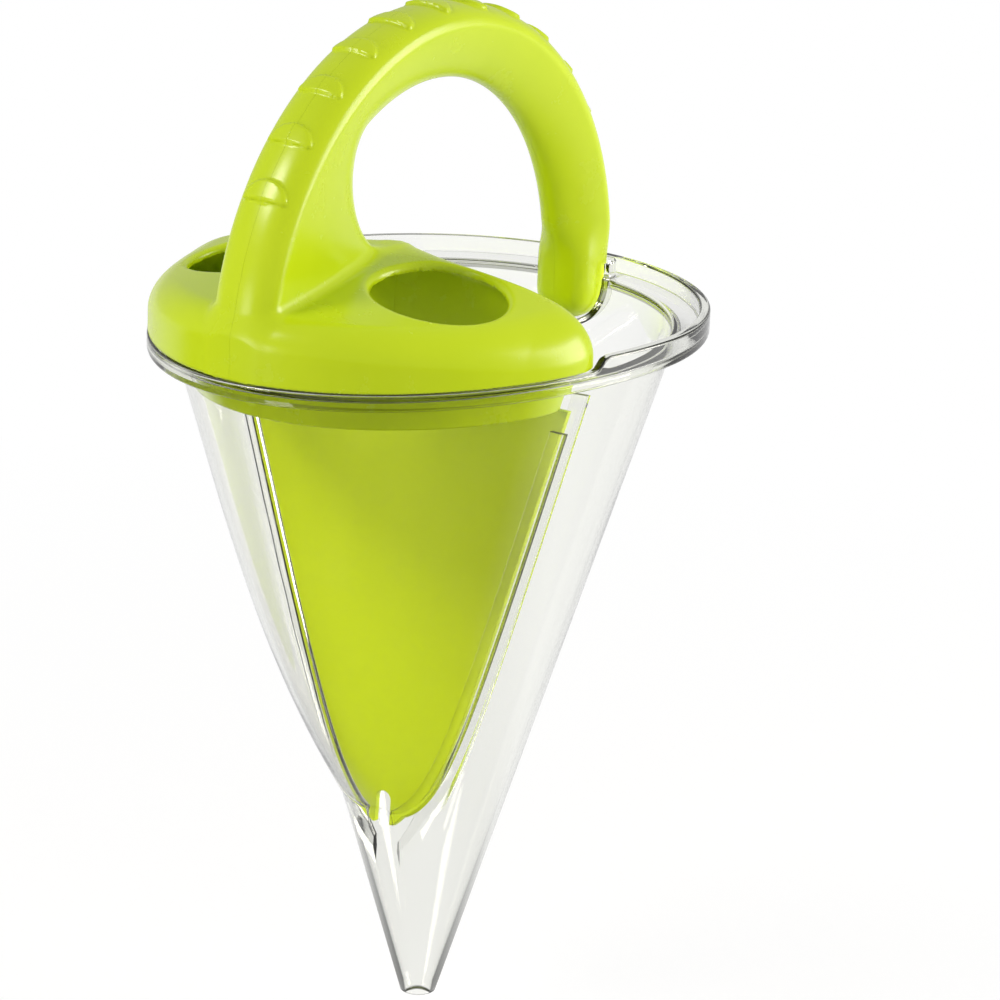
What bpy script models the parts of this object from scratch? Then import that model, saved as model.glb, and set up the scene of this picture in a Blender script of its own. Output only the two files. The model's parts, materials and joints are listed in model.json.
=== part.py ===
"""Sand funnel with a lift-off lid, an arched handle and a flat partition.

A clear funnel with an egg-shaped mouth tapers to an open spout. A green lid covers one
side of the mouth, and its handle arches over the open side to a foot that stands in a
niche of the funnel. Lid and handle are two hollow mouldings that meet on the middle
plane. The partition hangs in a groove of the lid, between rails in the funnel, and
parts the funnel into two chambers.

Units are metres. The spout's axis is the Z axis, +Z is up, z = 0 is the flat underside
of the collar, the lid lies towards -Y and the object is symmetric about X = 0.
"""

import math

import bmesh
import bpy
import numpy as np

MM = 0.001

# Cone of the clear funnel, outside sizes at the collar's underside
CONE_HALF_WIDTH = 66.0 * MM
CONE_OPEN_REACH = 70.5 * MM
CONE_LID_REACH = 67.0 * MM
SPOUT_RADIUS = 5.0 * MM
FUNNEL_DEPTH = 202.8 * MM
CONE_WALL = 1.8 * MM

# Belly that the cone has on the lid side
BELLY_REACH = 20.8 * MM
BELLY_FULL_DEPTH = 36.0 * MM
BELLY_END_DEPTH = 140.0 * MM
BELLY_POWER = 2.5
BELLY_STEPS = 9

# Collar round the mouth, outside sizes from its widest place
COLLAR_HALF_WIDTH = 73.0 * MM
COLLAR_OPEN_REACH = 75.5 * MM
COLLAR_LID_REACH = 103.0 * MM
COLLAR_CENTRE_Y = 5.0 * MM
COLLAR_WALL = 3.0 * MM
COLLAR_HEIGHT = 8.6 * MM
COLLAR_FALL = 0.023
COLLAR_EDGE = 0.5 * MM
LEDGE_THICKNESS = 2.0 * MM
MOUTH_EDGE = 1.0 * MM
LID_SEAT_HEIGHT = 4.6 * MM
SEAT_STEP_LENGTH = 5.0 * MM
SEAT_STEP_SETBACK = 9.5 * MM

# Partition and the rails that guide its edges
PLATE_BACK_Y = -18.4 * MM
PLATE_THICKNESS = 2.0 * MM
PLATE_EDGE_GAP = 2.4 * MM
PLATE_TONGUE_HALF_WIDTH = 30.0 * MM
PLATE_TOP = 12.0 * MM
PLATE_TIP_HALF_WIDTH = 3.2 * MM
PLATE_SLOT_WIDTH = 5.0 * MM
PLATE_SLOT_HEIGHT = 10.0 * MM
RAIL_THICKNESS = 1.6 * MM
RAIL_REACH = 5.0 * MM
RAIL_ROOT = 0.8 * MM
RAIL_END_HALF_WIDTH = 4.0 * MM
REAR_RAIL_TOP = 4.5 * MM
FRONT_RAIL_TOP = 15.5 * MM

# Lid
LID_SETBACK = 0.3 * MM
LID_BACK_Y = -13.8 * MM
LID_RIDGE_HEIGHT = 30.0 * MM
LID_SIDE_DROP = 14.0 * MM
LID_FALL = 0.09
LID_ROUND = 5.5 * MM
LID_CORNER_ROUND = 17.0 * MM
LID_CORNER_TURN = math.radians(50.0)
LID_CORNER_SPREAD = math.radians(42.0)
LID_CORNER_POWER = 5.2
LID_CENTRE_Y = -50.0 * MM
LID_WALL = 2.4 * MM
PLUG_DEPTH = 8.5 * MM
PLUG_WALL = 1.8 * MM
PLUG_SETBACK = 0.4 * MM
PLUG_GAP = 0.6 * MM
GROOVE_RIB_HALF_WIDTH = 32.0 * MM
GROOVE_RIB_FOOT = 1.0 * MM
HOLE_RADIUS = 18.8 * MM
HOLE_X = 31.0 * MM
HOLE_Y = -45.5 * MM
HOLE_LIP = 2.0 * MM

# Handle
ARCH_CENTRE_Y = -10.5 * MM
ARCH_CENTRE_Z = 7.2 * MM
ARCH_RADIUS = 86.8 * MM
HANDLE_DEPTH = 21.3 * MM
HANDLE_HALF_WIDTH = 10.0 * MM
HANDLE_WALL = 2.4 * MM
HANDLE_CROWN = 6.0 * MM
HANDLE_OUTER_POWER = 2.2
HANDLE_INNER_POWER = 3.0
HANDLE_TAPER = 0.4
GUSSET_START = math.radians(118.0)
GUSSET_PULL_UP = 12.4 * MM
GUSSET_PULL_BACK = 25.8 * MM
GUSSET_DIP = 2.6 * MM
GUSSET_END_Y = -20.0 * MM
GUSSET_END_Z = 26.7 * MM

# Foot of the handle and its niche in the funnel
FOOT_HALF_WIDTH = 9.4 * MM
FOOT_DEPTH = 18.5 * MM
FOOT_DROP = 11.0 * MM
FOOT_ROUND = 9.0 * MM
FOOT_POWER = 2.6
NICHE_GAP = 0.6 * MM
NICHE_WALL = 2.0 * MM
NICHE_RIM_HEIGHT = 6.0 * MM

# Raised grip scales on the handle
SCALE_LID_COUNT = 6
SCALE_LID_START = math.radians(149.0)
SCALE_FOOT_COUNT = 5
SCALE_FOOT_START = math.radians(31.0)
SCALE_PITCH = math.radians(11.6)
SCALE_HALF_WIDTH = 8.8 * MM
SCALE_LENGTH = 7.5 * MM
SCALE_HEIGHT = 1.0 * MM

# Clearances and facets
SEAT_GAP = 0.3 * MM
FUNNEL_SIDES = 54
LID_SIDES = 56
SECTION_SIDES = 20
ARCH_STATIONS = 22
GUSSET_STATIONS = 12
EDGE_STEPS = 16
OVERCUT = 2.0 * MM

# Places that follow from the sizes above
FOOT_Y = ARCH_CENTRE_Y + ARCH_RADIUS - FOOT_DEPTH / 2.0
SHOULDER_Z = NICHE_RIM_HEIGHT + SEAT_GAP
LID_BOTTOM = LID_SEAT_HEIGHT + SEAT_GAP
PLATE_FRONT_Y = PLATE_BACK_Y - PLATE_THICKNESS
PLATE_SHOULDER_Z = -PLUG_DEPTH - 1.0 * MM
SEAT_STEP_Y = LID_BACK_Y - SEAT_STEP_SETBACK


def clear_scene():
    """Empties the scene."""
    for obj in list(bpy.data.objects):
        bpy.data.objects.remove(obj, do_unlink=True)


def plastic(name, colour, roughness, alpha):
    """A glossy plastic, clear where alpha is below one."""
    material = bpy.data.materials.new(name)
    material.use_nodes = True
    shader = material.node_tree.nodes["Principled BSDF"]
    shader.inputs["Base Color"].default_value = (*colour, 1.0)
    shader.inputs["Roughness"].default_value = roughness
    shader.inputs["Metallic"].default_value = 0.0
    shader.inputs["Alpha"].default_value = alpha
    return material


def add_object(name, bm, material=None):
    """Puts a bmesh into the scene as an object; one with no material is a hidden helper."""
    bmesh.ops.recalc_face_normals(bm, faces=bm.faces)
    bmesh.ops.triangulate(bm, faces=bm.faces)
    mesh = bpy.data.meshes.new(name)
    bm.to_mesh(mesh)
    bm.free()
    obj = bpy.data.objects.new(name, mesh)
    bpy.context.scene.collection.objects.link(obj)
    if material:
        mesh.materials.append(material)
        mesh.shade_smooth()
        mesh.set_sharp_from_angle(angle=math.radians(35.0))
    else:
        obj.hide_render = True
        obj.display_type = "WIRE"
    return obj


def combine(obj, helper, operation, solver="EXACT"):
    """Joins a helper to an object, or cuts the object by it."""
    boolean = obj.modifiers.new(helper.name, "BOOLEAN")
    boolean.solver = solver
    boolean.operation = operation
    boolean.object = helper


def combine_lid(obj, helper, operation):
    """Combines pieces of the lid and handle, whose parting the exact solver leaves open."""
    combine(obj, helper, operation, "MANIFOLD")


def loft(name, rings, material=None):
    """A closed solid through rings of equal counts, with a flat face on each end."""
    bm = bmesh.new()
    loops = [[bm.verts.new(point) for point in ring] for ring in rings]
    for lower, upper in zip(loops, loops[1:]):
        for i in range(len(lower)):
            bm.faces.new((lower[i - 1], lower[i], upper[i], upper[i - 1]))
    bm.faces.new(loops[0])
    bm.faces.new(loops[-1])
    return add_object(name, bm, material)


def upright_plate(bm, outline, front_y, thickness):
    """Adds a plate of the given (x, z) outline, from front_y back by its thickness."""
    face = bm.faces.new([bm.verts.new((x, front_y, z)) for x, z in outline])
    grown = bmesh.ops.extrude_face_region(bm, geom=[face])
    moved = [v for v in grown["geom"] if isinstance(v, bmesh.types.BMVert)]
    bmesh.ops.translate(bm, verts=moved, vec=(0.0, thickness, 0.0))


def level_ring(outline, z):
    """Lifts a plan outline to a height, one for all its points or one for each."""
    heights = np.broadcast_to(z, len(outline))
    return np.column_stack([outline, heights])


def egg(half_width, open_reach, lid_reach, centre_y, turns):
    """Plan outline of two half ellipses that share their width: one open side, one lid side."""
    reach = np.where(np.cos(turns) > 0.0, open_reach, lid_reach)
    return np.column_stack([half_width * np.sin(turns), centre_y + reach * np.cos(turns)])


def smooth_step(share):
    """Rises from 0 to 1 with level ends as the share goes from 0 to 1."""
    share = np.clip(share, 0.0, 1.0)
    return share * share * (3.0 - 2.0 * share)


def belly(z):
    """How far the lid side stands out beyond the straight cone at a height."""
    share = np.clip((-z - BELLY_FULL_DEPTH) / (BELLY_END_DEPTH - BELLY_FULL_DEPTH), 0.0, 1.0)
    return BELLY_REACH * (1.0 - share**BELLY_POWER)


def cone_sizes(z, inset):
    """Half width, open reach and lid reach of the cone at a height, moved in by an inset."""
    share = 1.0 + z / FUNNEL_DEPTH
    sizes = [SPOUT_RADIUS + (top - SPOUT_RADIUS) * share - inset
             for top in (CONE_HALF_WIDTH, CONE_OPEN_REACH, CONE_LID_REACH)]
    sizes[2] += belly(z)
    return sizes


def cone_ring(z, inset, turns):
    """The cone's outline at a height."""
    return level_ring(egg(*cone_sizes(z, inset), 0.0, turns), z)


def wall_half_width(z, y, inset):
    """Distance from the middle plane to the cone's wall at a place on the lid side."""
    half_width, _, lid_reach = cone_sizes(z, inset)
    return half_width * np.sqrt(np.maximum(1.0 - (y / lid_reach) ** 2, 0.0))


def cone_levels():
    """Heights of the cone's rings from the collar down: straight, then the belly's curve."""
    curve = np.linspace(BELLY_FULL_DEPTH, BELLY_END_DEPTH, BELLY_STEPS + 1)
    return [0.0, *(-curve), -FUNNEL_DEPTH]


def funnel_turns():
    """Angles round the mouth, closer together where the collar steps down under the lid."""
    seat_turn = math.acos((SEAT_STEP_Y - COLLAR_CENTRE_Y) / COLLAR_LID_REACH)
    seat_half = SEAT_STEP_LENGTH / COLLAR_LID_REACH / 2.0
    steps = seat_turn + np.linspace(-seat_half, seat_half, 5)
    steps = np.concatenate([steps, 2.0 * math.pi - steps])
    even = np.linspace(0.0, 2.0 * math.pi, FUNNEL_SIDES, endpoint=False)
    apart = np.abs(even[:, None] - steps[None, :]).min(axis=1)
    return np.sort(np.concatenate([even[apart > 0.02], steps]))


def collar_outline(inset, turns):
    """The collar's plan outline, moved in by an inset."""
    sizes = (COLLAR_HALF_WIDTH, COLLAR_OPEN_REACH, COLLAR_LID_REACH)
    return egg(*(size - inset for size in sizes), COLLAR_CENTRE_Y, turns)


def collar_top(turns):
    """Height of the collar round the mouth: lower under the lid, falling to the open side's end."""
    y = collar_outline(0.0, turns)[:, 1]
    open_side = smooth_step((y - SEAT_STEP_Y) / SEAT_STEP_LENGTH + 0.5)
    open_height = COLLAR_HEIGHT - COLLAR_FALL * (y - SEAT_STEP_Y)
    return LID_SEAT_HEIGHT + (open_height - LID_SEAT_HEIGHT) * open_side


def funnel_body(material):
    """The funnel as a filled solid, up to the ledge inside its collar."""
    turns = funnel_turns()
    rings = [cone_ring(z, 0.0, turns) for z in reversed(cone_levels())]
    rings.append(level_ring(collar_outline(COLLAR_EDGE, turns), 0.0))
    rings.append(level_ring(collar_outline(0.0, turns), COLLAR_EDGE))
    round_radius = COLLAR_WALL / 2.0
    for angle in np.linspace(0.0, math.pi, 7):
        outline = collar_outline(round_radius * (1.0 - math.cos(angle)), turns)
        rings.append(level_ring(outline, collar_top(turns) - round_radius * (1.0 - math.sin(angle))))
    rings.append(level_ring(collar_outline(COLLAR_WALL, turns), LEDGE_THICKNESS))
    return loft("clear_funnel", rings, material)


def funnel_hollow():
    """The room inside the cone, open through the ledge and through the spout."""
    turns = funnel_turns()
    half_edge = MOUTH_EDGE / 2.0
    flare = ((COLLAR_HEIGHT, 2.0 * MOUTH_EDGE), (half_edge, 2.0 * MOUTH_EDGE),
             (-half_edge, half_edge), (-MOUTH_EDGE, 0.0))
    rings = []
    for rise, outset in flare:
        outline = egg(*cone_sizes(0.0, CONE_WALL - outset), 0.0, turns)
        rings.append(level_ring(outline, LEDGE_THICKNESS + rise))
    rings += [cone_ring(z, CONE_WALL, turns) for z in cone_levels()]
    spout = egg(*cone_sizes(-FUNNEL_DEPTH, CONE_WALL), 0.0, turns)
    rings.append(level_ring(spout, -FUNNEL_DEPTH - OVERCUT))
    return loft("funnel_hollow", rings)


def foot_pod(name, outset, top):
    """A rounded block on the foot's place, round below, made larger all over by an outset."""
    theta = np.linspace(0.0, 2.0 * math.pi, SECTION_SIDES, endpoint=False)
    cos, sin = np.cos(theta), np.sin(theta)
    x = np.sign(cos) * np.abs(cos) ** (2.0 / FOOT_POWER)
    y = np.sign(sin) * np.abs(sin) ** (2.0 / FOOT_POWER)
    half_width = FOOT_HALF_WIDTH + outset
    half_depth = FOOT_DEPTH / 2.0 + outset
    bottom = -FOOT_DROP - outset
    height = FOOT_ROUND + outset
    rings = [level_ring(np.column_stack([x * half_width, FOOT_Y + y * half_depth]), top)]
    for angle in np.linspace(0.0, math.radians(78.0), 6):
        share = math.cos(angle)
        outline = np.column_stack([x * half_width * share, FOOT_Y + y * half_depth * share])
        rings.append(level_ring(outline, bottom + height * (1.0 - math.sin(angle))))
    return loft(name, rings)


def wall_curve(y, inset, setback, top, least_x):
    """Points (x, z) down the cone's wall in an upright plane, evenly spaced along the curve.

    The curve stands off the wall by the setback and ends where it comes as near to the
    middle plane as least_x.
    """
    z = np.linspace(top, -FUNNEL_DEPTH, 1000)
    x = wall_half_width(z, y, inset) - setback
    curve = np.column_stack([x, z])[x > least_x]
    steps = np.linalg.norm(np.diff(curve, axis=0), axis=1)
    run = np.concatenate([[0.0], np.cumsum(steps)])
    places = np.linspace(0.0, run[-1], EDGE_STEPS + 1)
    return list(zip(np.interp(places, run, curve[:, 0]), np.interp(places, run, curve[:, 1])))


def rails():
    """Four rails that stand out from the cone's wall, on both faces of the partition's edges."""
    bm = bmesh.new()
    rear_y = PLATE_BACK_Y + SEAT_GAP
    front_y = PLATE_FRONT_Y - SEAT_GAP - RAIL_THICKNESS
    for y, top in ((rear_y, -REAR_RAIL_TOP), (front_y, -FRONT_RAIL_TOP)):
        middle_y = y + RAIL_THICKNESS / 2.0
        outer = wall_curve(middle_y, CONE_WALL - RAIL_ROOT, 0.0, top, RAIL_END_HALF_WIDTH)
        inner = wall_curve(middle_y, CONE_WALL, RAIL_REACH, top, RAIL_END_HALF_WIDTH)
        for side in (1.0, -1.0):
            upright_plate(bm, [(side * x, z) for x, z in outer + inner[::-1]], y, RAIL_THICKNESS)
    return add_object("rails", bm)


def clear_funnel(material):
    """The clear funnel: cone with belly, collar, ledge, niche for the foot, and rails."""
    funnel = funnel_body(material)
    combine(funnel, foot_pod("niche_outside", NICHE_GAP + NICHE_WALL, NICHE_RIM_HEIGHT), "UNION")
    combine(funnel, funnel_hollow(), "DIFFERENCE")
    combine(funnel, foot_pod("niche_inside", NICHE_GAP, NICHE_RIM_HEIGHT + OVERCUT), "DIFFERENCE")
    combine(funnel, rails(), "UNION")
    return funnel


def partition_plate(material):
    """The flat partition: a tongue for the lid's groove, edges along the rails, a slotted tip."""
    edge = wall_curve(PLATE_FRONT_Y, CONE_WALL, PLATE_EDGE_GAP, PLATE_SHOULDER_Z, PLATE_TIP_HALF_WIDTH)
    bottom = edge[-1][1]
    half_slot = PLATE_SLOT_WIDTH / 2.0
    slot_arc_z = bottom + PLATE_SLOT_HEIGHT - half_slot
    slot = [(half_slot * math.cos(a), slot_arc_z + half_slot * math.sin(a))
            for a in np.linspace(0.0, math.pi / 2.0, 4)]
    side = [(PLATE_TONGUE_HALF_WIDTH, PLATE_TOP), (PLATE_TONGUE_HALF_WIDTH, PLATE_SHOULDER_Z)]
    side += edge + [(half_slot, bottom)] + slot
    outline = side + [(-x, z) for x, z in reversed(side[:-1])]
    bm = bmesh.new()
    upright_plate(bm, outline, PLATE_FRONT_Y, PLATE_THICKNESS)
    return add_object("partition_plate", bm, material)


def clipped_outline(half_width, lid_reach, centre_y, inset):
    """The lid side of an egg outline, cut straight at the lid's back, with rounded corners.

    Along each direction from the lid's middle, the distance joins the distances to the
    ellipse and to the straight back, by a high power mean that rounds where they cross.
    """
    theta = np.linspace(0.0, 2.0 * math.pi, LID_SIDES, endpoint=False)
    across, along = np.cos(theta), np.sin(theta)
    width, reach = half_width - inset, lid_reach - inset
    offset = LID_CENTRE_Y - centre_y
    a = (across / width) ** 2 + (along / reach) ** 2
    b = along * offset / reach**2
    c = (offset / reach) ** 2 - 1.0
    to_ellipse = (np.sqrt(b * b - a * c) - b) / a
    to_back = (LID_BACK_Y - inset - LID_CENTRE_Y) / np.maximum(along, 1e-6)
    closeness = to_ellipse**-LID_CORNER_POWER + to_back**-LID_CORNER_POWER
    distance = closeness ** (-1.0 / LID_CORNER_POWER)
    return np.column_stack([distance * across, LID_CENTRE_Y + distance * along])


def lid_outline(inset):
    """The lid's plan outline, set back from the collar."""
    sizes = (COLLAR_HALF_WIDTH - LID_SETBACK, COLLAR_LID_REACH - LID_SETBACK)
    return clipped_outline(*sizes, COLLAR_CENTRE_Y, inset)


def lid_height(x, y):
    """Height of the lid's top: crowned across, falling gently from the back to the front."""
    return LID_RIDGE_HEIGHT - LID_SIDE_DROP * (x / COLLAR_HALF_WIDTH) ** 2 - LID_FALL * (LID_BACK_Y - y)


def lid_dome(name, inset, bottom, half_width):
    """The lid's domed block, moved in by an inset and cut off at the sides.

    Its shoulder is rounded all round, with a larger radius at the back and its corners.
    """
    sides = np.array([[half_width, math.inf]])
    base = np.clip(lid_outline(inset), -sides, sides)
    room = lid_height(*base.T) - inset - bottom
    off_corner = np.arctan2(base[:, 1] - LID_CENTRE_Y, np.abs(base[:, 0])) - LID_CORNER_TURN
    at_corner = np.exp(-((off_corner / LID_CORNER_SPREAD) ** 2))
    shoulder = LID_ROUND + (LID_CORNER_ROUND - LID_ROUND) * at_corner - inset
    shoulder = np.minimum(shoulder, 0.8 * room)
    rings = [level_ring(base, bottom)]
    for angle in np.linspace(0.0, math.pi / 2.0, 5):
        outline = np.clip(lid_outline(inset + shoulder * (1.0 - math.cos(angle))), -sides, sides)
        top = lid_height(*outline.T) - inset
        rings.append(level_ring(outline, top - shoulder * (1.0 - math.sin(angle))))
    edge = outline
    centre = np.array([0.0, LID_CENTRE_Y])
    for share in (0.7, 0.4, 0.1):
        outline = centre + (edge - centre) * share
        rings.append(level_ring(outline, lid_height(*outline.T) - inset))
    return loft(name, rings)


def lid_plug(name, inset, bottom, top):
    """The part of the lid that plugs into the funnel's mouth, moved in by an inset."""
    rings = []
    for z in (bottom, 0.0, top):
        half_width, _, lid_reach = cone_sizes(min(z, 0.0), CONE_WALL + PLUG_GAP - PLUG_SETBACK)
        outline = clipped_outline(half_width, lid_reach, 0.0, inset + PLUG_SETBACK)
        rings.append(level_ring(outline, z))
    return loft(name, rings)


def groove_ribs():
    """Two ribs inside the lid that hold the partition's tongue between them."""
    rear_y = PLATE_BACK_Y + SEAT_GAP
    front_y = PLATE_FRONT_Y - SEAT_GAP - RAIL_THICKNESS
    half = GROOVE_RIB_HALF_WIDTH
    bottom, top = GROOVE_RIB_FOOT, LID_RIDGE_HEIGHT
    outline = [(-half, bottom), (half, bottom), (half, top), (-half, top)]
    bm = bmesh.new()
    upright_plate(bm, outline, front_y, RAIL_THICKNESS)
    upright_plate(bm, outline, rear_y, LID_BACK_Y - LID_WALL / 2.0 - rear_y)
    ribs = add_object("groove_ribs", bm)
    limit = lid_dome("rib_limit", LID_WALL / 2.0, bottom - OVERCUT, COLLAR_HALF_WIDTH)
    combine_lid(ribs, limit, "INTERSECT")
    return ribs


def hole_cutter(side):
    """A round cutter for one filling hole, flared where it leaves the lid's top."""
    theta = np.linspace(0.0, 2.0 * math.pi, 28, endpoint=False)
    circle = np.column_stack([np.cos(theta), np.sin(theta)])
    centre = np.array([side * HOLE_X, HOLE_Y])
    top = lid_height(*(centre + circle * HOLE_RADIUS).T)
    rings = [level_ring(centre + circle * HOLE_RADIUS, 0.0)]
    for angle in np.linspace(0.0, math.radians(75.0), 4):
        outline = centre + circle * (HOLE_RADIUS + HOLE_LIP * (1.0 - math.cos(angle)))
        rings.append(level_ring(outline, top - HOLE_LIP * (1.0 - math.sin(angle))))
    wide = centre + circle * (HOLE_RADIUS + HOLE_LIP)
    rings.append(level_ring(wide, top + HOLE_LIP))
    return loft("hole_cutter_right" if side > 0.0 else "hole_cutter_left", rings)


def arch_point(angle, radius):
    """A (y, z) point on a circle about the arch's centre, from the open side over the top."""
    return np.array([ARCH_CENTRE_Y + radius * math.cos(angle), ARCH_CENTRE_Z + radius * math.sin(angle)])


def gusset_point(share):
    """A (y, z) point on the curve that sweeps from the arch's inside to the lid's ridge."""
    start = arch_point(GUSSET_START, ARCH_RADIUS - HANDLE_DEPTH)
    heading = np.array([-math.sin(GUSSET_START), math.cos(GUSSET_START)])
    end = np.array([GUSSET_END_Y, GUSSET_END_Z])
    pull_start = start + heading * GUSSET_PULL_UP
    pull_end = end - np.array([GUSSET_PULL_BACK, GUSSET_DIP])
    rest = 1.0 - share
    return (rest**3 * start + 3.0 * rest**2 * share * pull_start
            + 3.0 * rest * share**2 * pull_end + share**3 * end)


def handle_stations():
    """Pairs of (y, z) points on the handle's outer and inner curve, from the foot to the lid."""
    foot_angle = math.asin((SHOULDER_Z - ARCH_CENTRE_Z) / ARCH_RADIUS)
    near_angle = math.pi - math.asin((LID_BOTTOM - ARCH_CENTRE_Z) / ARCH_RADIUS)
    stations = []
    for angle in np.linspace(foot_angle, GUSSET_START, ARCH_STATIONS):
        stations.append((arch_point(angle, ARCH_RADIUS), arch_point(angle, ARCH_RADIUS - HANDLE_DEPTH)))
    for share in np.linspace(0.0, 1.0, GUSSET_STATIONS + 1)[1:]:
        angle = GUSSET_START + share * (near_angle - GUSSET_START)
        stations.append((arch_point(angle, ARCH_RADIUS), gusset_point(share)))
    return stations


def handle_section(outer, inner, inset):
    """One cross-section: crowned outside, flat converging sides, rounded inside."""
    theta = np.linspace(0.0, 2.0 * math.pi, SECTION_SIDES, endpoint=False)
    cos, sin = np.cos(theta), np.sin(theta)
    power = 2.0 / np.where(sin > 0.0, HANDLE_OUTER_POWER, HANDLE_INNER_POWER)
    depth = float(np.linalg.norm(inner - outer))
    reach = np.abs(sin) ** power
    down = np.where(sin > 0.0, HANDLE_CROWN - (HANDLE_CROWN - inset) * reach,
                    HANDLE_CROWN + (depth - HANDLE_CROWN - inset) * reach)
    taper = 1.0 - HANDLE_TAPER * np.clip((down - HANDLE_CROWN) / (depth - HANDLE_CROWN), 0.0, 1.0)
    x = (HANDLE_HALF_WIDTH - inset) * np.sign(cos) * np.abs(cos) ** power * taper
    y, z = (outer + np.outer(down / depth, inner - outer)).T
    return np.column_stack([x, y, z])


def handle_sweep(name, inset):
    """The handle as one sweep from its shoulder over the top into the lid, moved in by an inset."""
    stations = handle_stations()
    rings = [handle_section(outer, inner, inset) for outer, inner in stations]
    if inset > 0.0:
        rings[0] = rings[0] + np.array([0.0, 0.0, inset])
        rings[-1] = rings[-1] + np.array([0.0, 0.0, inset])
    return loft(name, rings)


def grip_scales():
    """Half-moon scales that stand proud of the handle's outer side, round towards its top."""
    bm = bmesh.new()
    arc = np.linspace(0.0, math.pi, 11)
    places = [(SCALE_LID_START - i * SCALE_PITCH, -1.0) for i in range(SCALE_LID_COUNT)]
    places += [(SCALE_FOOT_START + i * SCALE_PITCH, 1.0) for i in range(SCALE_FOOT_COUNT)]
    for angle, heading in places:
        x = SCALE_HALF_WIDTH * np.cos(arc)
        turned = angle + heading * SCALE_LENGTH * np.sin(arc) / ARCH_RADIUS
        rings = []
        for radius in (ARCH_RADIUS - HANDLE_WALL / 2.0, ARCH_RADIUS + OVERCUT):
            y = ARCH_CENTRE_Y + radius * np.cos(turned)
            z = ARCH_CENTRE_Z + radius * np.sin(turned)
            rings.append([bm.verts.new(point) for point in zip(x, y, z)])
        for i in range(len(arc)):
            bm.faces.new((rings[0][i - 1], rings[0][i], rings[1][i], rings[1][i - 1]))
        bm.faces.new(rings[0])
        bm.faces.new(rings[1])
    scales = add_object("grip_scales", bm)
    combine_lid(scales, handle_sweep("scale_surface", -SCALE_HEIGHT), "INTERSECT")
    return scales


def lid_room_half_width():
    """How far to each side the lid is high enough for the room inside it."""
    room = LID_RIDGE_HEIGHT - LID_FALL * (LID_BACK_Y - LID_CENTRE_Y) - LID_BOTTOM - 3.0 * LID_WALL
    return COLLAR_HALF_WIDTH * math.sqrt(room / LID_SIDE_DROP)


def lid_and_handle():
    """Lid and handle as one hollow moulding, before it is parted into its two halves."""
    lid = lid_dome("lid_and_handle", 0.0, LID_BOTTOM, COLLAR_HALF_WIDTH)
    floor = LID_BOTTOM + LID_WALL
    joined = [
        lid_plug("plug_outside", 0.0, -PLUG_DEPTH, floor),
        handle_sweep("handle_outside", 0.0),
        foot_pod("foot", 0.0, SHOULDER_Z + HANDLE_WALL),
        grip_scales(),
    ]
    cut = [
        lid_dome("lid_inside", LID_WALL, floor, lid_room_half_width()),
        lid_plug("plug_inside", PLUG_WALL, -PLUG_DEPTH - OVERCUT, floor + LID_WALL),
        handle_sweep("handle_inside", HANDLE_WALL),
        hole_cutter(1.0),
        hole_cutter(-1.0),
    ]
    for helper in joined:
        combine_lid(lid, helper, "UNION")
    for helper in cut:
        combine_lid(lid, helper, "DIFFERENCE")
    combine_lid(lid, groove_ribs(), "UNION")
    return lid


def half_moulding(name, whole, side, material):
    """One half of the lid and handle, on one side of the middle plane."""
    far = COLLAR_HALF_WIDTH + OVERCUT
    low, high = sorted((side * SEAT_GAP / 2.0, side * far))
    reach = ARCH_RADIUS + COLLAR_LID_REACH
    bm = bmesh.new()
    bmesh.ops.create_cube(bm, size=1.0)
    bmesh.ops.scale(bm, verts=bm.verts, vec=(high - low, 2.0 * reach, 2.0 * reach))
    bmesh.ops.translate(bm, verts=bm.verts, vec=((low + high) / 2.0, 0.0, 0.0))
    half = add_object(name, bm, material)
    combine_lid(half, whole, "INTERSECT")
    return half


def main():
    """Builds the object: the funnel stands, the lid unit hangs on an empty on its lifting axis."""
    clear_scene()
    clear = plastic("clear_plastic", (0.86, 0.89, 0.84), 0.06, 0.25)
    green_left = plastic("green_plastic_left", (0.48, 0.63, 0.01), 0.25, 1.0)
    green_right = plastic("green_plastic_right", (0.48, 0.63, 0.01), 0.25, 1.0)
    green_plate = plastic("green_plastic_plate", (0.45, 0.60, 0.01), 0.30, 1.0)
    clear_funnel(clear)
    whole = lid_and_handle()
    moving = [half_moulding("lid_handle_left", whole, -1.0, green_left),
              half_moulding("lid_handle_right", whole, 1.0, green_right),
              partition_plate(green_plate)]
    lift_axis = bpy.data.objects.new("lift_axis", None)
    bpy.context.scene.collection.objects.link(lift_axis)
    for piece in moving:
        piece.parent = lift_axis


main()
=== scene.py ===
"""Looks of the sand funnel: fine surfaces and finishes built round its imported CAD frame.

Sizes are in millimetres in the frame of the CAD model: the spout's axis is Z, the collar's flat
underside is z = 0, the lid lies towards -Y and the object is symmetric about X = 0.
"""

from __future__ import annotations

import json
import logging
import math
from dataclasses import dataclass, field
from enum import Enum
from typing import Callable, Sequence, Union

import bpy
import numpy as np
from mathutils import Matrix

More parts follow.
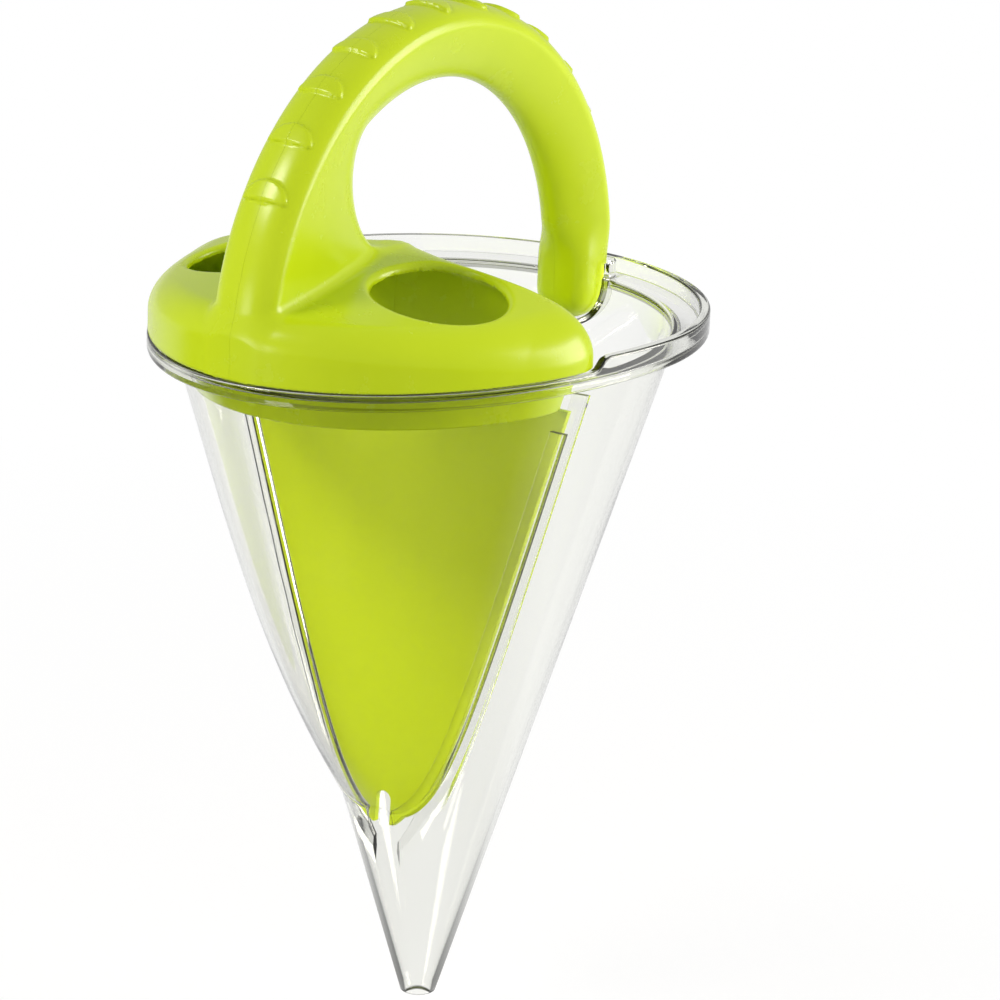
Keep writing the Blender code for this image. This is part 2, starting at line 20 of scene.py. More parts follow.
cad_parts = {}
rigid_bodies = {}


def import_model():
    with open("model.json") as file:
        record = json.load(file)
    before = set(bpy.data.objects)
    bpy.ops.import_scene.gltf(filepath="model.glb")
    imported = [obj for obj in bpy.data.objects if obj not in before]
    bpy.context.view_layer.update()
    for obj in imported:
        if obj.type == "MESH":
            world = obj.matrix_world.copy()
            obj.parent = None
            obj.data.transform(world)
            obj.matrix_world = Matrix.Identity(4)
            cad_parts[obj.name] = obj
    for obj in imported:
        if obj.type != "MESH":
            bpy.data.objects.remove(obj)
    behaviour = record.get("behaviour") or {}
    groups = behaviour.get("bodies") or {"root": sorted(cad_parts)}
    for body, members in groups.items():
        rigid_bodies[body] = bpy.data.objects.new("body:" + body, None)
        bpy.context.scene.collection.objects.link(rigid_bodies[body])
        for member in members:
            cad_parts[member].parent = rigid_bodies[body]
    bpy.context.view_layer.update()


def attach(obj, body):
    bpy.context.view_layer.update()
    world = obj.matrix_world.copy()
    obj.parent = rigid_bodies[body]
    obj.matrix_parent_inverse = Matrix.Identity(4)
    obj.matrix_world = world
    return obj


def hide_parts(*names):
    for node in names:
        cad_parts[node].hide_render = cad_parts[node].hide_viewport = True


LOG = logging.getLogger("sand_funnel")
MM = 0.001
Array = np.ndarray
Field = Callable[[Array, Array, Array], Array]


class Body(Enum):
    """Bodies of the CAD model that pieces ride on."""

    FUNNEL = "funnel"
    LID_UNIT = "lid_unit"


class Node(Enum):
    """CAD nodes that finer surfaces stand for."""

    FUNNEL = "clear_funnel"
    LEFT_HALF = "lid_handle_left"
    RIGHT_HALF = "lid_handle_right"
    PLATE = "partition_plate"


class Slot(Enum):
    """Material slots of the record."""

    CLEAR = "clear_plastic"
    GREEN_LEFT = "green_plastic_left"
    GREEN_RIGHT = "green_plastic_right"
    GREEN_PLATE = "green_plastic_plate"


class Side(Enum):
    """The two sides of the middle plane."""

    LEFT = -1.0
    RIGHT = 1.0


class Cut(Enum):
    """What a Boolean does with its helper."""

    JOIN = "UNION"
    REMOVE = "DIFFERENCE"


@dataclass(frozen=True)
class Surface:
    """A mesh as arrays: points in millimetres, four-sided faces, and many-sided end faces."""

    points: Array
    quads: Array
    ends: tuple[Array, ...] = ()

    def volume(self) -> float:
        """Signed volume of the closed surface: the sum of the tetrahedra from the origin to its faces.

        Returns:
            The volume, positive when the faces point outwards.
        """
        a, b, c, d = (self.points[self.quads[:, i]] for i in range(4))
        total = np.einsum("ij,ij->", a, np.cross(b, c)) + np.einsum("ij,ij->", a, np.cross(c, d))
        for end in self.ends:
            fan = self.points[end]
            total += (np.cross(fan[1:-1], fan[2:]) @ fan[0]).sum()
        return float(total) / 6.0

    def outward(self) -> Surface:
        """Turns the faces outwards.

        Returns:
            This surface, or the same one with its faces turned round.
        """
        if self.volume() >= 0.0:
            return self
        return Surface(self.points, self.quads[:, ::-1], tuple(end[::-1] for end in self.ends))

    def mirrored(self) -> Surface:
        """The surface mirrored in the middle plane, still pointing outwards."""
        ends = tuple(end[::-1] for end in self.ends)
        return Surface(self.points * (-1.0, 1.0, 1.0), self.quads[:, ::-1], ends)

    def to_object(self, name: str, sharp_degrees: float = 180.0) -> bpy.types.Object:
        """Makes the surface an object at the origin.

        Args:
            name: Name of the object.
            sharp_degrees: Edges that turn by more than this angle are shaded sharp.

        Returns:
            The new object, smooth shaded.
        """
        corners = [self.quads.ravel(), *self.ends]
        sizes = np.array([4] * len(self.quads) + [len(end) for end in self.ends], np.int32)
        mesh = bpy.data.meshes.new(name)
        mesh.vertices.add(len(self.points))
        mesh.vertices.foreach_set("co", (self.points * MM).astype(np.float32).ravel())
        mesh.loops.add(int(sizes.sum()))
        mesh.loops.foreach_set("vertex_index", np.concatenate(corners).astype(np.int32))
        mesh.polygons.add(len(sizes))
        mesh.polygons.foreach_set("loop_start", np.cumsum(sizes) - sizes)
        mesh.update(calc_edges=True)
        mesh.validate()
        return place_mesh(name, mesh, sharp_degrees)


def place_mesh(name: str, mesh: bpy.types.Mesh, sharp_degrees: float) -> bpy.types.Object:
    """Links a mesh into the scene as a smooth shaded object with sharp creases.

    Args:
        name: Name of the object.
        mesh: Its mesh.
        sharp_degrees: Edges that turn by more than this angle are shaded sharp.

    Returns:
        The object, at the origin.
    """
    mesh.shade_smooth()
    if sharp_degrees < 180.0:
        mesh.set_sharp_from_angle(angle=math.radians(sharp_degrees))
    obj = bpy.data.objects.new(name, mesh)
    bpy.context.scene.collection.objects.link(obj)
    return obj


def ring_surface(rings: Array, closed: bool) -> Surface:
    """A surface through rings of points.

    Args:
        rings: Points by ring and by place on the ring, shape (rings, places, 3).
        closed: Whether the last ring joins the first, or both ends get a flat face.

    Returns:
        The surface, pointing outwards.
    """
    count, places = rings.shape[:2]
    row = np.arange(count if closed else count - 1)[:, None]
    place = np.arange(places)[None, :]
    after, beside = (row + 1) % count, (place + 1) % places
    quads = np.stack([row * places + place, row * places + beside,
                      after * places + beside, after * places + place], axis=-1).reshape(-1, 4)
    first = np.arange(places)
    ends = () if closed else (first[::-1], first + (count - 1) * places)
    return Surface(rings.reshape(-1, 3), quads, ends).outward()


def boolean(base: bpy.types.Object, steps: Sequence[tuple[Cut, bpy.types.Object]]) -> bpy.types.Mesh:
    """Joins and cuts closed surfaces.

    Args:
        base: Object that the steps work on; it is removed, as are the helpers.
        steps: What to do with each helper, in order.

    Returns:
        The resulting mesh.
    """
    for cut, helper in steps:
        modifier = base.modifiers.new(helper.name, "BOOLEAN")
        modifier.solver = "MANIFOLD"
        modifier.operation = cut.value
        modifier.object = helper
    evaluated = base.evaluated_get(bpy.context.evaluated_depsgraph_get())
    mesh = bpy.data.meshes.new_from_object(evaluated)
    for obj in (base, *(helper for _, helper in steps)):
        bpy.data.objects.remove(obj, do_unlink=True)
    return mesh


def round_max(a: Array, b: Array, radius: Union[float, Array]) -> Array:
    """Distance to where two solids overlap, with the edge between them rounded off by a radius."""
    corner = np.hypot(np.maximum(a + radius, 0.0), np.maximum(b + radius, 0.0))
    return np.minimum(np.maximum(a, b) + radius, 0.0) + corner - radius


def round_min(a: Array, b: Array, radius: float) -> Array:
    """Distance to two solids joined, with a fillet of a radius in the corner between them."""
    return -round_max(-a, -b, radius)


def zero_surface(values: Array, low: Array, step: float) -> Surface:
    """The surface where a sampled distance is zero.

    Each grid cell that the surface passes through gets one point, the mean of the places where
    the distance changes sign along the cell's edges. Each grid edge that crosses the surface
    gets a face through the points of its four cells.

    Args:
        values: Distances on a grid, negative inside.
        low: Lowest corner of the grid.
        step: Width of a grid cell.

    Returns:
        The surface, pointing outwards.
    """
    inside = values < 0.0
    nx, ny, nz = (n - 1 for n in values.shape)
    corners = np.array([(i, j, k) for i in (0, 1) for j in (0, 1) for k in (0, 1)])
    count = sum(inside[i:i + nx, j:j + ny, k:k + nz].astype(np.int8) for i, j, k in corners)
    cells = np.argwhere((count > 0) & (count < 8))
    index = np.full((nx, ny, nz), -1, np.int32)
    index[tuple(cells.T)] = np.arange(len(cells))
    total = np.zeros((len(cells), 3))
    hits = np.zeros(len(cells))
    for start in corners:
        for along in np.eye(3, dtype=int)[start == 0]:
            here, there = values[tuple((cells + start).T)], values[tuple((cells + start + along).T)]
            crosses = (here < 0.0) != (there < 0.0)
            share = np.where(crosses, here / np.where(crosses, here - there, 1.0), 0.0)
            total += crosses[:, None] * (start + share[:, None] * along)
            hits += crosses
    faces = []
    for axis in range(3):
        u, v = np.eye(3, dtype=int)[(axis + 1) % 3], np.eye(3, dtype=int)[(axis + 2) % 3]
        inner = [slice(1, -1)] * 3
        before, after = list(inner), list(inner)
        before[axis], after[axis] = slice(None, -1), slice(1, None)
        leaves, enters = inside[tuple(before)], inside[tuple(after)]
        for turned, crosses in ((False, leaves & ~enters), (True, enters & ~leaves)):
            node = np.argwhere(crosses) + u + v
            around = [node - u - v, node - v, node, node - u]
            quad = np.column_stack([index[tuple(cell.T)] for cell in around])
            faces.append(quad[:, ::-1] if turned else quad)
    return Surface(low + step * (cells + total / hits[:, None]), np.concatenate(faces))


def settled(surface: Surface, distance: Field, reach: float) -> Surface:
    """Moves a surface's points down the slope of a distance until they lie on its zero.

    Args:
        surface: Surface close to the zero of the distance.
        distance: Distance as a function of x, y and z.
        reach: Furthest that a point may move in one of the two rounds.

    Returns:
        The same faces on moved points.
    """
    points = surface.points.copy()
    nudge = 0.05
    for _ in range(2):
        slope = np.column_stack([distance(*(points + e).T) - distance(*(points - e).T)
                                 for e in nudge * np.eye(3)]) / (2.0 * nudge)
        steep = np.maximum((slope**2).sum(axis=1), 0.25)
        points -= np.clip((distance(*points.T) / steep)[:, None] * slope, -reach, reach)
    return Surface(points, surface.quads)


@dataclass(frozen=True)
class Cone:
    """The cone of the funnel: half an ellipse on the open side, a bellied half on the lid side."""

    half_width: float = 66.0
    open_reach: float = 70.5
    lid_reach: float = 67.0
    spout_radius: float = 5.0
    depth: float = 202.8
    wall: float = 1.8
    belly_reach: float = 20.8
    belly_full_depth: float = 36.0
    belly_end_depth: float = 140.0
    belly_power: float = 2.5

    def sizes(self, z: Array, inset: float) -> tuple[Array, Array, Array]:
        """Half width, open reach and lid reach: straight lines down to the spout, plus the belly.

        Args:
            z: Heights, zero at the collar and negative below.
            inset: How far inside the outer wall.

        Returns:
            The three sizes at each height.
        """
        z = np.asarray(z, float)
        share = 1.0 + z / self.depth
        straight = [self.spout_radius + (top - self.spout_radius) * share - inset
                    for top in (self.half_width, self.open_reach, self.lid_reach)]
        belly_run = self.belly_end_depth - self.belly_full_depth
        sunk = np.clip((-z - self.belly_full_depth) / belly_run, 0.0, 1.0)
        return straight[0], straight[1], straight[2] + self.belly_reach * (1.0 - sunk**self.belly_power)

    def half_width_at(self, z: Array, y: float, inset: float) -> Array:
        """Distance from the middle plane to the wall at a place on the lid side."""
        width, _, reach = self.sizes(z, inset)
        return width * np.sqrt(np.maximum(1.0 - (y / reach) ** 2, 0.0))

    def wall_curve(self, y: float, inset: float, setback: float, top: float, least_x: float) -> Array:
        """Places down the wall in an upright plane, evenly spaced along the curve.

        Args:
            y: Place of the plane.
            inset: How far inside the outer wall.
            setback: How far the curve stands off towards the middle.
            top: Height of its upper end.
            least_x: Distance from the middle plane at its lower end.

        Returns:
            120 places in x and z, from the top down.
        """
        z = np.linspace(top, -self.depth, 2000)
        x = self.half_width_at(z, y, inset) - setback
        curve = np.column_stack([x, z])[x > least_x]
        run = np.concatenate([[0.0], np.cumsum(np.linalg.norm(np.diff(curve, axis=0), axis=1))])
        places = np.linspace(0.0, run[-1], 120)
        return np.column_stack([np.interp(places, run, curve[:, 0]), np.interp(places, run, curve[:, 1])])


@dataclass(frozen=True)
class Partition:
    """The flat partition with its tongue, rounded edges and slotted tip."""

    cone: Cone = Cone()
    back_y: float = -18.4
    thickness: float = 2.0
    edge_gap: float = 2.4
    tongue_half_width: float = 30.0
    top: float = 12.0
    shoulder: float = -9.5
    tip_half_width: float = 3.2
    slot_half_width: float = 2.5
    slot_height: float = 10.0
    edge_round: float = 0.25

    @property
    def front_y(self) -> float:
        """Place of its face nearer the lid's front."""
        return self.back_y - self.thickness

    def outline(self) -> Array:
        """Outline: the slot's half circle, the tip, the cone's wall less a gap, and the tongue, mirrored.

        Returns:
            Places in x and z, from the slot's top round the right side, over the tongue and back.
        """
        edge = self.cone.wall_curve(self.front_y, self.cone.wall, self.edge_gap, self.shoulder,
                                    self.tip_half_width)[::-1]
        low = edge[0, 1]
        turn = np.linspace(0.0, math.pi / 2.0, 9)[:-1]
        arc_z = low + self.slot_height - self.slot_half_width
        slot = self.slot_half_width * np.column_stack([np.cos(turn), np.sin(turn)]) + (0.0, arc_z)
        tip = [[self.slot_half_width, low]]
        tongue = [[self.tongue_half_width, self.shoulder], [self.tongue_half_width, self.top]]
        side = np.concatenate([slot[::-1], tip, edge, tongue])
        apex = [[0.0, arc_z + self.slot_half_width]]
        return np.concatenate([apex, side, side[::-1] * (-1.0, 1.0)])

    def surface(self) -> Surface:
        """The outline drawn in by a quarter-round profile towards both faces.

        Returns:
            The plate as one closed surface.
        """
        outline = self.outline()
        ahead, behind = np.roll(outline, -1, axis=0) - outline, outline - np.roll(outline, 1, axis=0)
        normals = [np.column_stack([d[:, 1], -d[:, 0]]) / np.linalg.norm(d, axis=1)[:, None]
                   for d in (ahead, behind)]
        mitre = normals[0] + normals[1]
        mitre /= np.maximum((mitre * normals[0]).sum(axis=1), 0.4)[:, None]
        angle = np.linspace(0.0, math.pi / 2.0, 6)
        inset = self.edge_round * np.concatenate([[1.2], 1.0 - np.sin(angle)])
        out = self.thickness / 2.0 - self.edge_round * np.concatenate([[0.0], 1.0 - np.cos(angle)])
        inset, across = np.concatenate([inset, inset[::-1]]), np.concatenate([-out, out[::-1]])
        flat = outline[None] - inset[:, None, None] * mitre[None]
        middle_y = self.back_y - self.thickness / 2.0
        y = np.broadcast_to((middle_y + across)[:, None, None], (*flat.shape[:2], 1))
        return ring_surface(np.concatenate([flat[..., :1], y, flat[..., 1:]], axis=-1), closed=False)

    def build(self) -> bpy.types.Object:
        """Makes the plate and puts it on the lid's body.

        Returns:
            The plate.
        """
        plate = self.surface().to_object("partition", 60.0)
        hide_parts(Node.PLATE.value)
        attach(plate, Body.LID_UNIT.value)
        return plate

    def dress(self, plate: bpy.types.Object) -> None:
        """Gives the plate, seen through the clear wall, its plastic painted paler than the lid's green:
        painted light standing in for lamp light the wall keeps from it.
        """
        # Painted light: both colours are brighter than the lid's own green, to make up for light lost through
        # the clear wall.
        plastic = GreenPlastic("green_plastic_partition", (0.535, 0.675, 0.003), (0.565, 0.70, 0.006), 0.3)
        coat(plate, plastic.build())


@dataclass(frozen=True)
class FootPod:
    """A rounded block at the handle's foot: a superellipse in plan over an elliptic bottom."""

    half_width: float = 9.4
    half_depth: float = 9.25
    y: float = 67.05
    bottom: float = -11.0
    round_height: float = 9.0
    power: float = 2.6

    def grown(self, outset: float) -> FootPod:
        """The block made larger all over."""
        return FootPod(self.half_width + outset, self.half_depth + outset, self.y, self.bottom - outset,
                       self.round_height + outset, self.power)

    def distance(self, x: Array, y: Array, z: Array) -> Array:
        """Distance: the plan's power mean, joined below with the height as an ellipse.

        Args:
            x: Places across.
            y: Places along the object.
            z: Heights.

        Returns:
            The distances, negative inside.
        """
        plan = (np.abs(x / self.half_width) ** self.power
                + np.abs((y - self.y) / self.half_depth) ** self.power) ** (1.0 / self.power)
        sunk = np.maximum(self.bottom + self.round_height - z, 0.0) / self.round_height
        return (np.hypot(plan, sunk) - 1.0) * self.half_width

    def surface(self, top: float) -> Surface:
        """The block as rings: the plan outline shrunk by the cosine while it sinks by the sine.

        Args:
            top: Height of its flat top.

        Returns:
            The closed block.
        """
        theta = np.linspace(0.0, 2.0 * math.pi, 96, endpoint=False)
        cos, sin = np.cos(theta), np.sin(theta)
        x = self.half_width * np.sign(cos) * np.abs(cos) ** (2.0 / self.power)
        y = self.half_depth * np.sign(sin) * np.abs(sin) ** (2.0 / self.power)
        angle = np.concatenate([[0.0], np.linspace(0.0, math.radians(88.0), 24)])
        z = self.bottom + self.round_height * (1.0 - np.sin(angle))
        z[0] = top
        share = np.cos(angle)[:, None]
        across = share * x
        rings = np.stack([across, self.y + share * y, np.broadcast_to(z[:, None], across.shape)], axis=-1)
        return ring_surface(rings, closed=False)


@dataclass(frozen=True)
class FunnelShell:
    """The clear funnel: cone, collar with a lower seat under the lid, ledge, niche and rails."""

    cone: Cone = Cone()
    plate: Partition = Partition()
    foot: FootPod = FootPod()
    collar_half_width: float = 72.85
    collar_open_reach: float = 75.48
    collar_lid_reach: float = 102.98
    collar_centre_y: float = 5.0
    collar_wall: float = 3.0
    collar_height: float = 8.6
    collar_fall: float = 0.023
    collar_edge: float = 0.8
    ledge: float = 2.0
    mouth_edge: float = 1.0
    lip_round: float = 0.5
    collar_fillet: tuple[float, float] = (1.2, 1.6)
    ledge_fillet: float = 0.6
    seat_height: float = 4.6
    seat_step_y: float = -22.8
    seat_step_length: float = 5.0
    niche_gap: float = 0.6
    niche_wall: float = 2.0
    niche_rim: float = 6.0
    rail_thickness: float = 1.6
    rail_gap: float = 0.3
    rail_reach: float = 5.0
    rail_root: float = 0.8
    rail_tops: tuple[float, float] = (-4.5, -15.5)
    rail_end_half_width: float = 4.0
    turns: int = 288

    def angles(self) -> Array:
        """Angles round the mouth from the open side."""
        return np.linspace(0.0, 2.0 * math.pi, self.turns, endpoint=False)

    def egg(self, width: Array, open_reach: Array, lid_reach: Array, centre_y: float) -> tuple[Array, Array]:
        """Plan outline of two half ellipses that share their width.

        Args:
            width: Half widths.
            open_reach: Lengths of the half on the open side.
            lid_reach: Lengths of the half on the lid's side.
            centre_y: Where along Y the outline is widest.

        Returns:
            Places in x and in y, by size and by angle.
        """
        turn = self.angles()
        half, ahead, behind = (np.asarray(size)[..., None] for size in (width, open_reach, lid_reach))
        reach = np.where(np.cos(turn) > 0.0, ahead, behind)
        return half * np.sin(turn), centre_y + reach * np.cos(turn)

    def cone_rings(self, z: Array, inset: Array, size_z: Array) -> Array:
        """Rings of the cone: its outline at size heights, moved in, and placed at other heights.

        Args:
            z: Heights that the rings are placed at.
            inset: How far each ring is moved in.
            size_z: Heights that their sizes are taken from.

        Returns:
            The rings' points.
        """
        width, open_reach, lid_reach = self.cone.sizes(size_z, 0.0)
        x, y = self.egg(width - inset, open_reach - inset, lid_reach - inset, 0.0)
        return np.stack([x, y, np.broadcast_to(np.asarray(z)[:, None], x.shape)], axis=-1)

    def collar_top(self) -> Array:
        """Height of the collar: a smooth step up from the seat, then a gentle fall to the open end.

        Returns:
            The heights, by angle.
        """
        _, y = self.egg(self.collar_half_width, self.collar_open_reach, self.collar_lid_reach,
                        self.collar_centre_y)
        share = np.clip((y - self.seat_step_y) / self.seat_step_length + 0.5, 0.0, 1.0)
        open_height = self.collar_height - self.collar_fall * (y - self.seat_step_y)
        return self.seat_height + (open_height - self.seat_height) * share**2 * (3.0 - 2.0 * share)

    def collar_rings(self, inset: Array, z: Array) -> Array:
        """Rings of the collar: its outline moved in.

        Args:
            inset: How far each ring is moved in.
            z: Heights, by ring and by angle.

        Returns:
            The rings' points.
        """
        inset = np.asarray(inset, float)
        x, y = self.egg(self.collar_half_width - inset, self.collar_open_reach - inset,
                        self.collar_lid_reach - inset, self.collar_centre_y)
        return np.stack([x, y, np.broadcast_to(z, x.shape)], axis=-1)

    def outside_rings(self) -> Array:
        """Rings up the cone's outside, round the collar's edges and down to the ledge.

        Returns:
            Rings from the spout's lip to the ledge's inner edge.
        """
        belly_end = -self.cone.belly_end_depth
        fillet_out, fillet_down = self.collar_fillet
        z = np.concatenate([np.linspace(-self.cone.depth + self.lip_round, belly_end, 16)[:-1],
                            np.linspace(belly_end, -fillet_down, 48)])
        fillet = np.linspace(0.0, math.pi / 2.0, 7)[1:-1]
        bend_z, bend_out = -fillet_down * (1.0 - np.sin(fillet)), fillet_out * (1.0 - np.cos(fillet))
        cone = self.cone_rings(np.concatenate([z, bend_z]), np.concatenate([np.zeros(len(z)), -bend_out]),
                               np.concatenate([z, bend_z]))
        edge = np.linspace(0.0, math.pi / 2.0, 6)
        low = self.collar_rings(self.collar_edge * (1.0 - np.sin(edge)),
                                (self.collar_edge * (1.0 - np.cos(edge)))[:, None])
        bend, radius = np.linspace(0.0, math.pi / 2.0, 8), self.collar_edge
        inset, sunk = radius * (1.0 - np.cos(bend)), radius * (1.0 - np.sin(bend))
        inset = np.concatenate([inset, self.collar_wall - inset[::-1]])
        sunk = np.concatenate([sunk, sunk[::-1]])
        high = self.collar_rings(inset, self.collar_top()[None] - sunk[:, None])
        corner = np.linspace(0.0, math.pi / 2.0, 5)
        foot = self.collar_rings(self.collar_wall + self.ledge_fillet * (1.0 - np.cos(corner)),
                                 (self.ledge + self.ledge_fillet * (1.0 - np.sin(corner)))[:, None])
        return np.concatenate([cone, low, high, foot])

    def inside_rings(self) -> Array:
        """Rings over the mouth's rounded edge and down the cone's inside to the spout.

        Returns:
            Rings from the mouth's edge round the spout's lip.
        """
        turn = np.linspace(0.0, math.pi / 2.0, 8)
        lip_inset = self.cone.wall - self.mouth_edge * (1.0 - np.sin(turn))
        lip_z = self.ledge - self.mouth_edge * (1.0 - np.cos(turn))
        belly_end = -self.cone.belly_end_depth
        z = np.concatenate([np.linspace(0.0, belly_end, 50),
                            np.linspace(belly_end, -self.cone.depth + self.lip_round, 16)[1:]])
        tip = np.linspace(0.0, math.pi, 9)
        tip_inset = self.cone.wall / 2.0 * (1.0 + np.cos(tip))
        tip_z = -self.cone.depth + self.lip_round * (1.0 - np.sin(tip))
        return np.concatenate([
            self.cone_rings(lip_z, lip_inset, np.zeros(len(turn))),
            self.cone_rings(z, np.full(len(z), self.cone.wall), z),
            self.cone_rings(tip_z, tip_inset, tip_z)[1:-1],
        ])

    def hollow(self) -> Surface:
        """The room inside the cone and above its mouth.

        Returns:
            The room as one closed block.
        """
        flare = self.cone_rings(np.array([self.collar_height + 4.0, self.ledge + 0.2]),
                                np.full(2, self.cone.wall - self.mouth_edge), np.zeros(2))
        z = np.linspace(0.0, -60.0, 24)
        room = self.cone_rings(z, np.full(len(z), self.cone.wall), z)
        return ring_surface(np.concatenate([flare, room]), closed=False)

    def rail(self, side: Side, y: float, top: float) -> Surface:
        """One rail: a bar with a rounded inner edge, carried down along the wall.

        Args:
            side: Which side of the middle plane.
            y: Place of its face nearer the lid's front.
            top: Height of its upper end.

        Returns:
            The closed rail, rooted in the cone's wall.
        """
        middle, radius = y + self.rail_thickness / 2.0, self.rail_thickness / 2.0
        wall, end = self.cone.wall, self.rail_end_half_width
        outer = self.cone.wall_curve(middle, wall - self.rail_root, 0.0, top, end)
        inner = self.cone.wall_curve(middle, wall, self.rail_reach, top, end)
        outward = (outer - inner) / np.linalg.norm(outer - inner, axis=1)[:, None]
        angle = np.linspace(-math.pi / 2.0, math.pi / 2.0, 11)
        bend = inner[:, None] + radius * (1.0 - np.cos(angle))[None, :, None] * outward[:, None]
        flat = np.concatenate([bend, outer[:, None], outer[:, None]], axis=1)
        places = np.concatenate([middle + radius * np.sin(angle), [y + self.rail_thickness, y]])
        along = np.broadcast_to(places, flat.shape[:2])
        rings = np.stack([side.value * flat[..., 0], along, flat[..., 1]], axis=-1)
        return ring_surface(rings, closed=False)

    def build(self) -> bpy.types.Object:
        """Makes the funnel from its wall, niche and rails, and puts it on its body.

        Returns:
            The funnel.
        """
        wall = ring_surface(np.concatenate([self.outside_rings(), self.inside_rings()]), closed=True)
        niche = self.foot.grown(self.niche_gap + self.niche_wall).surface(self.niche_rim)
        limit = self.hollow().to_object("niche_limit")
        niche_mesh = boolean(niche.to_object("niche_block"), [(Cut.REMOVE, limit)])
        room = self.foot.grown(self.niche_gap).surface(self.niche_rim + 4.0)
        steps = [(Cut.JOIN, place_mesh("niche", niche_mesh, 180.0)),
                 (Cut.REMOVE, room.to_object("niche_room"))]
        rear = self.plate.back_y + self.rail_gap
        front = self.plate.front_y - self.rail_gap - self.rail_thickness
        for y, top in zip((rear, front), self.rail_tops):
            steps += [(Cut.JOIN, self.rail(side, y, top).to_object(f"rail_{side.name}_{top:.0f}"))
                      for side in Side]
        mesh = boolean(wall.to_object("wall"), steps)
        funnel = place_mesh("funnel", mesh, 38.0)
        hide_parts(Node.FUNNEL.value)
        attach(funnel, Body.FUNNEL.value)
        return funnel

    def dress(self, funnel: bpy.types.Object) -> None:
        """Gives the funnel its clear plastic."""
        coat(funnel, ClearPlastic("clear_plastic_moulded").build())


@dataclass(frozen=True)
class Lookup:
    """A value sampled on a flat grid, read between its nodes by bilinear steps."""

    low: Array
    step: float
    values: Array

    def at(self, u: Array, v: Array) -> Array:
        """Value at places in the grid's plane.

        Args:
            u: Places along the grid's first axis.
            v: Places along its second axis.

        Returns:
            The values, those at the grid's edge beyond it.
        """
        i = np.clip((u - self.low[0]) / self.step, 0.0, self.values.shape[0] - 1.001)
        j = np.clip((v - self.low[1]) / self.step, 0.0, self.values.shape[1] - 1.001)
        a, b = i.astype(int), j.astype(int)
        s, t = i - a, j - b
        near = self.values[a, b] * (1.0 - s) + self.values[a + 1, b] * s
        far = self.values[a, b + 1] * (1.0 - s) + self.values[a + 1, b + 1] * s
        return near * (1.0 - t) + far * t


